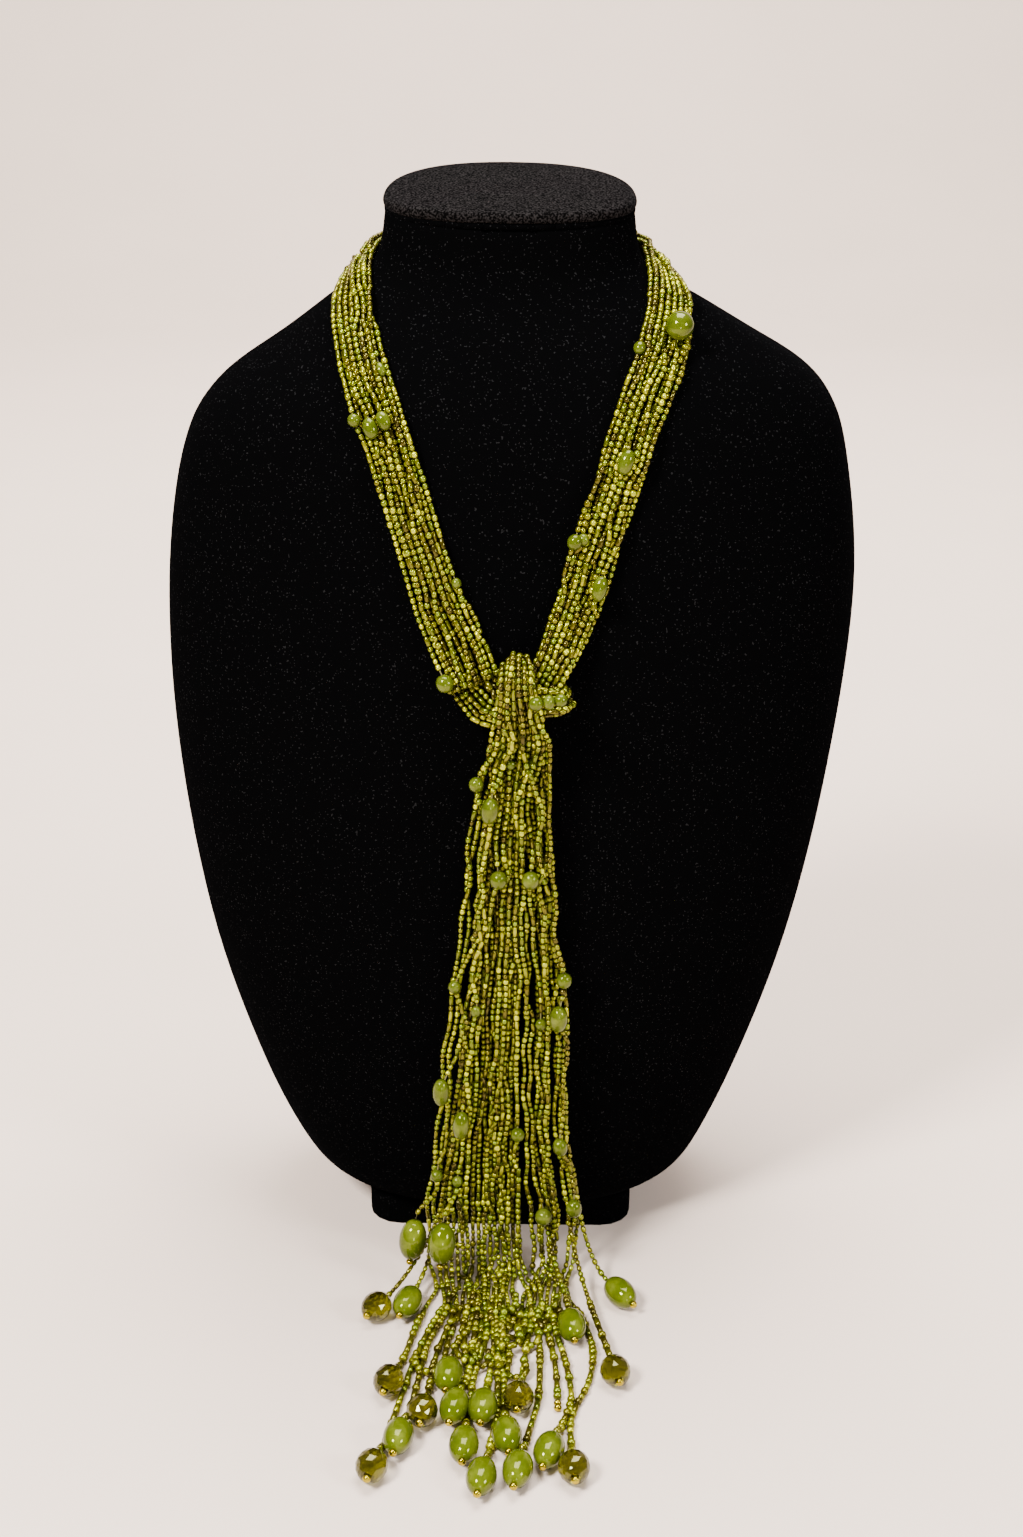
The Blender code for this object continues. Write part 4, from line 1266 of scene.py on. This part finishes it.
def placePiece(obj, name, spot, axis, roll, material, slot, *replaced):
    turn = Matrix(turnTo(axis, roll).tolist()).to_4x4()
    obj.data.transform(Matrix.Translation(spot) @ turn)
    obj.name = name
    obj.data.name = name
    obj.data.materials.clear()
    dressPiece(obj, material, slot, *replaced)


def copyOf(model):
    return takeNewPiece(model.name, model.data.copy())


def buildDrops(jade, glass, metal):
    stopper = drops["stopperWidth"]
    oval = modelOval(drops["ovalLength"], drops["ovalWidth"], 32, 20)
    facet = modelFacet(drops["facetLength"], drops["facetWidth"], 14)
    bead = modelOval(stopper * 0.8, stopper, 14, 8)
    looks = {
        "oval": (oval, "jadeDrop_", jade, "jade_glass"),
        "facet": (facet, "crystalDrop_", glass, "olive_crystal"),
    }
    for name in [n for n in stringRoutes if n != "g"] + ["b"]:
        drop = dropPlace(name)
        middle, run = drop["middle"], drop["run"]
        model, title, material, slot = looks[drop["kind"]]
        placePiece(copyOf(model), title + name, middle, run, ord(name) * 0.7, material, slot, drop["node"])
        tip = middle + run * (drop["length"] * 0.487 + stopper * 0.38)
        tip.z = max(tip.z, stopper / 2)
        placePiece(copyOf(bead), "goldStopper_" + name, tip, run, 0, metal, "seed_beads")
    # one string ends in two gold beads
    route = floorRoute("g")
    end, before = route[-1], route[-3]
    run = Vector((end.x - before.x, end.y - before.y, 0)).normalized()
    for k in range(2):
        spot = Vector((end.x, end.y, stopper / 2)) + run * (0.4 + k * 0.85) * stopper
        placePiece(copyOf(bead), "goldEndBead_%d" % k, spot, run, 0, metal, "seed_beads")
    for model in (oval, facet, bead):
        bpy.data.objects.remove(model, do_unlink=True)


# Beads that lie crosswise on the right of the knot: place, length and width in millimetres
knotAccents = (
    (10.4, -86.5, 231.0, 5.0, 4.8),
    (14.6, -86.3, 231.6, 4.0, 5.2),
    (18.4, -85.4, 231.9, 4.6, 4.6),
)


def buildAccents(held, jade):
    for name, spot, axis, length, width in held:
        model = modelOval(length, width, 20, 14)
        replaced = [name] if name in nodes else []
        title = name.replace("bead_", "jadeBead_")
        placePiece(model, title, spot, axis, 0.4, jade, "jade_glass", *replaced)
    for k, (x, y, z, length, width) in enumerate(knotAccents):
        model = modelOval(length * mm, width * mm, 20, 14)
        spot = Vector((x * mm, y * mm, z * mm))
        placePiece(model, "jadeKnotBead_%d" % k, spot, (1, 0, 0.06), 0.4, jade, "jade_glass")


def skips(line, shift, held, accents):
    # the stretches of a strand that its larger beads take up; notes each bead's place and direction
    found = []
    run = lineLengths(line)
    for name, strand, k, spot, length, width in held:
        k = min(k + shift, len(line) - 2)
        axis = (line[min(k + 1, len(line) - 1)] - line[max(k - 1, 0)]).normalized()
        found.append((run[k] - length / 2, run[k] + length / 2))
        accents.append((name, spot if name in nodes else line[k].copy(), axis, length, width))
    return found


def buildNecklace():
    random = np.random.default_rng(11)
    glass = seedGlassMaterial()
    kinds = ("round", "big", "tube")
    leftBeads = cadAccents("collar", range(1, 5)) + extraAccents("left")
    rightBeads = cadAccents("collar", range(5, 9)) + extraAccents("right")
    tasselBeads = cadAccents("tassel", range(1, 9)) + extraAccents("tassel")
    leftCuts = evenSlices(laySlices(leftLay) + wrapSlices())
    rightCuts = evenSlices(laySlices(rightLay))
    tasselCuts = evenSlices(tasselSlices())
    print("slices", len(leftCuts), len(rightCuts), len(tasselCuts))
    leftPoints, leftHeld = runBundle(leftCuts, leftBeads, random)
    rightPoints, rightHeld = runBundle(rightCuts, rightBeads, random)
    print("neck bundles run")
    models = {kind: modelSeed(kind) for kind in kinds}
    accents, lines, tails = [], [], []
    for family, points, held in (("left", leftPoints, leftHeld), ("right", rightPoints, rightHeld)):
        placed = {kind: [] for kind in kinds}
        for i in range(bundle["strands"]):
            line = [row[i] for row in points]
            # on to the middle of the nape, where the two bundles meet
            line[0] = line[0] + (line[0] - line[1]).normalized() * bundle["napeReach"]
            skip = skips(line, 0, [h for h in held if h[1] == i], accents)
            left = threadBeads(line, skip, random, placed, 0.0)
            lines.append(line)
            tails.append((line[-5:], left))
        replaced = ["collar_" + family] + (["knot_wrap", "knot_fall"] if family == "left" else [])
        joinCopies(family + "Strands", models, placed, glass, replaced)
        print(family, "strands", sum(len(v) for v in placed.values()), "beads")
    # more strands than the bundles show come out from inside the knot
    first = tasselCuts[0]
    for k in range(tassel["extraStrands"]):
        u = (k + 0.5) / tassel["extraStrands"] * 2 - 1
        end = slicePoint(first, u * first["width"] * 0.40, random.uniform(1.2, 5) * mm)
        inside = [end + Vector((-u * 4 * mm, 0, 9 * mm)), end + Vector((-u * 2 * mm, 0, 5 * mm))]
        tails.append((inside + [end], 12 * mm))
    starts = [tail[-1] for tail, left in tails]
    tasselPoints, tasselHeld, ends, endCut = runTassel(tasselCuts, starts, tasselBeads, random)
    print("tassel run")
    count = bundle["strands"]
    parts = {"tasselFrontStrands": range(count), "tasselBackStrands": range(count, len(starts))}
    for title, members in parts.items():
        placed = {kind: [] for kind in kinds}
        for i in members:
            tail, left = tails[i]
            line = tail + [row[i] for row in tasselPoints[: endCut[i] + 1]]
            held = [h for h in tasselHeld if h[1] == i]
            skip = skips(line, len(tail), held, accents)
            line = finishString(line, ends[i])
            bare = threadBeads(line, skip, random, placed, max(0.0, lineLengths(tail)[-1] - left))
            if ends[i].startswith("heap"):
                run = lineLengths(line)
                line = [point for point, at in zip(line, run) if at < run[-1] - bare]
            lines.append(line)
        replaced = ["tassel"] if title == "tasselFrontStrands" else []
        joinCopies(title, models, placed, glass, replaced)
        print(title, sum(len(v) for v in placed.values()), "beads")
    cord = cloudyMaterial("oliveThread", thread, threadTwist, 3000.0)
    threadMesh("threads", lines, seedBeads["threadWidth"] / 2, 4, cord, "seed_beads")
    buildAccents(accents, jadeMaterial("mistJadeGlass", paleJade))
    smoky = cloudyMaterial("oliveCrystal", crystal, crystalSmoke, 120.0)
    metal = cloudyMaterial("stopperGold", gold, goldWear, 900.0)
    buildDrops(jadeMaterial("jadeGlass", richJade), smoky, metal)


# Studio


# Each light's place, size, power and colour, and the point that it faces
lights = {
    "keyLight": ((-0.9, -1.0, 1.5), 0.45, 98, (1.0, 0.97, 0.94), (0, -0.05, 0.18)),
    "fillLight": ((1.3, -0.9, 0.9), 0.4, 25, (0.98, 0.98, 1.0), (0, -0.05, 0.18)),
    "topLight": ((0.1, 0.3, 1.9), 1.2, 92, (1.0, 0.97, 0.94), (0, -0.05, 0.18)),
    "frontLight": ((0.2, -1.6, 0.35), 0.25, 4, (1.0, 0.98, 0.95), (0, -0.05, 0.18)),
    "wallLight": ((0.0, 1.1, 1.9), 1.6, 112, (1.0, 0.97, 0.94), (0, 2.9, 0.7)),
}
room = {
    "floorColor": (0.74, 0.60, 0.51),
    "floorSize": 6,
    "backFrom": 2.9,
    "backHeight": 3.0,
    "sweep": 1.2,
    "worldColor": (0.86, 0.80, 0.75, 1),
    "worldStrength": 0.28,
}


def buildStudio():
    color = room["floorColor"]
    stops = ((0.3, tuple(0.97 * c for c in color)), (0.7, color))
    pale = cloudyMaterial("paleFloor", {"Base Color": (*color, 1), "Roughness": 0.55}, stops, 6.0)
    deselectAll()
    bpy.ops.mesh.primitive_plane_add(size=room["floorSize"], location=(0, 0, 0))
    floor = bpy.context.object
    floor.name = "paleFloor"
    floor.data.materials.append(pale)
    editMesh("DESELECT", "EDGE")
    objectMode()
    for edge in floor.data.edges:
        edge.select = all(floor.data.vertices[v].co.y > room["backFrom"] for v in edge.vertices)
    bpy.ops.object.mode_set(mode="EDIT")
    bpy.ops.mesh.extrude_region_move(TRANSFORM_OT_translate={"value": (0, 0.0, room["backHeight"])})
    objectMode()
    bend = floor.modifiers.new("sweep", "BEVEL")
    bend.width = room["sweep"]
    bend.segments = 16
    bpy.ops.object.modifier_apply(modifier=bend.name)
    floor.data.shade_smooth()
    for name, (place, size, power, color, target) in lights.items():
        data = bpy.data.lights.new(name, "AREA")
        data.energy = power
        data.size = size
        data.color = color
        light = takeNewPiece(name, data)
        light.location = place
        light.rotation_euler = (Vector(target) - Vector(place)).to_track_quat("-Z", "Y").to_euler()
    world = bpy.data.worlds.new("softRoom")
    world.use_nodes = True
    background = world.node_tree.nodes["Background"]
    background.inputs["Color"].default_value = room["worldColor"]
    background.inputs["Strength"].default_value = room["worldStrength"]
    bpy.context.scene.world = world


camera = {
    "place": (0.00255, -0.742, 0.473),
    "pitch": math.radians(68.0),
    "roll": math.radians(0.61),
    "lens": 50.0,
}


def buildCamera():
    data = bpy.data.cameras.new("photoCamera")
    data.lens = camera["lens"]
    data.sensor_width = 36
    data.clip_start = 0.05
    obj = takeNewPiece("photoCamera", data)
    pitch = Matrix.Rotation(camera["pitch"], 4, "X")
    roll = Matrix.Rotation(camera["roll"], 4, "Z")
    obj.matrix_world = Matrix.Translation(camera["place"]) @ pitch @ roll
    bpy.context.scene.camera = obj


buildCamera()
buildBust()
print("bust built")
buildNecklace()
print("necklace built")
buildStudio()
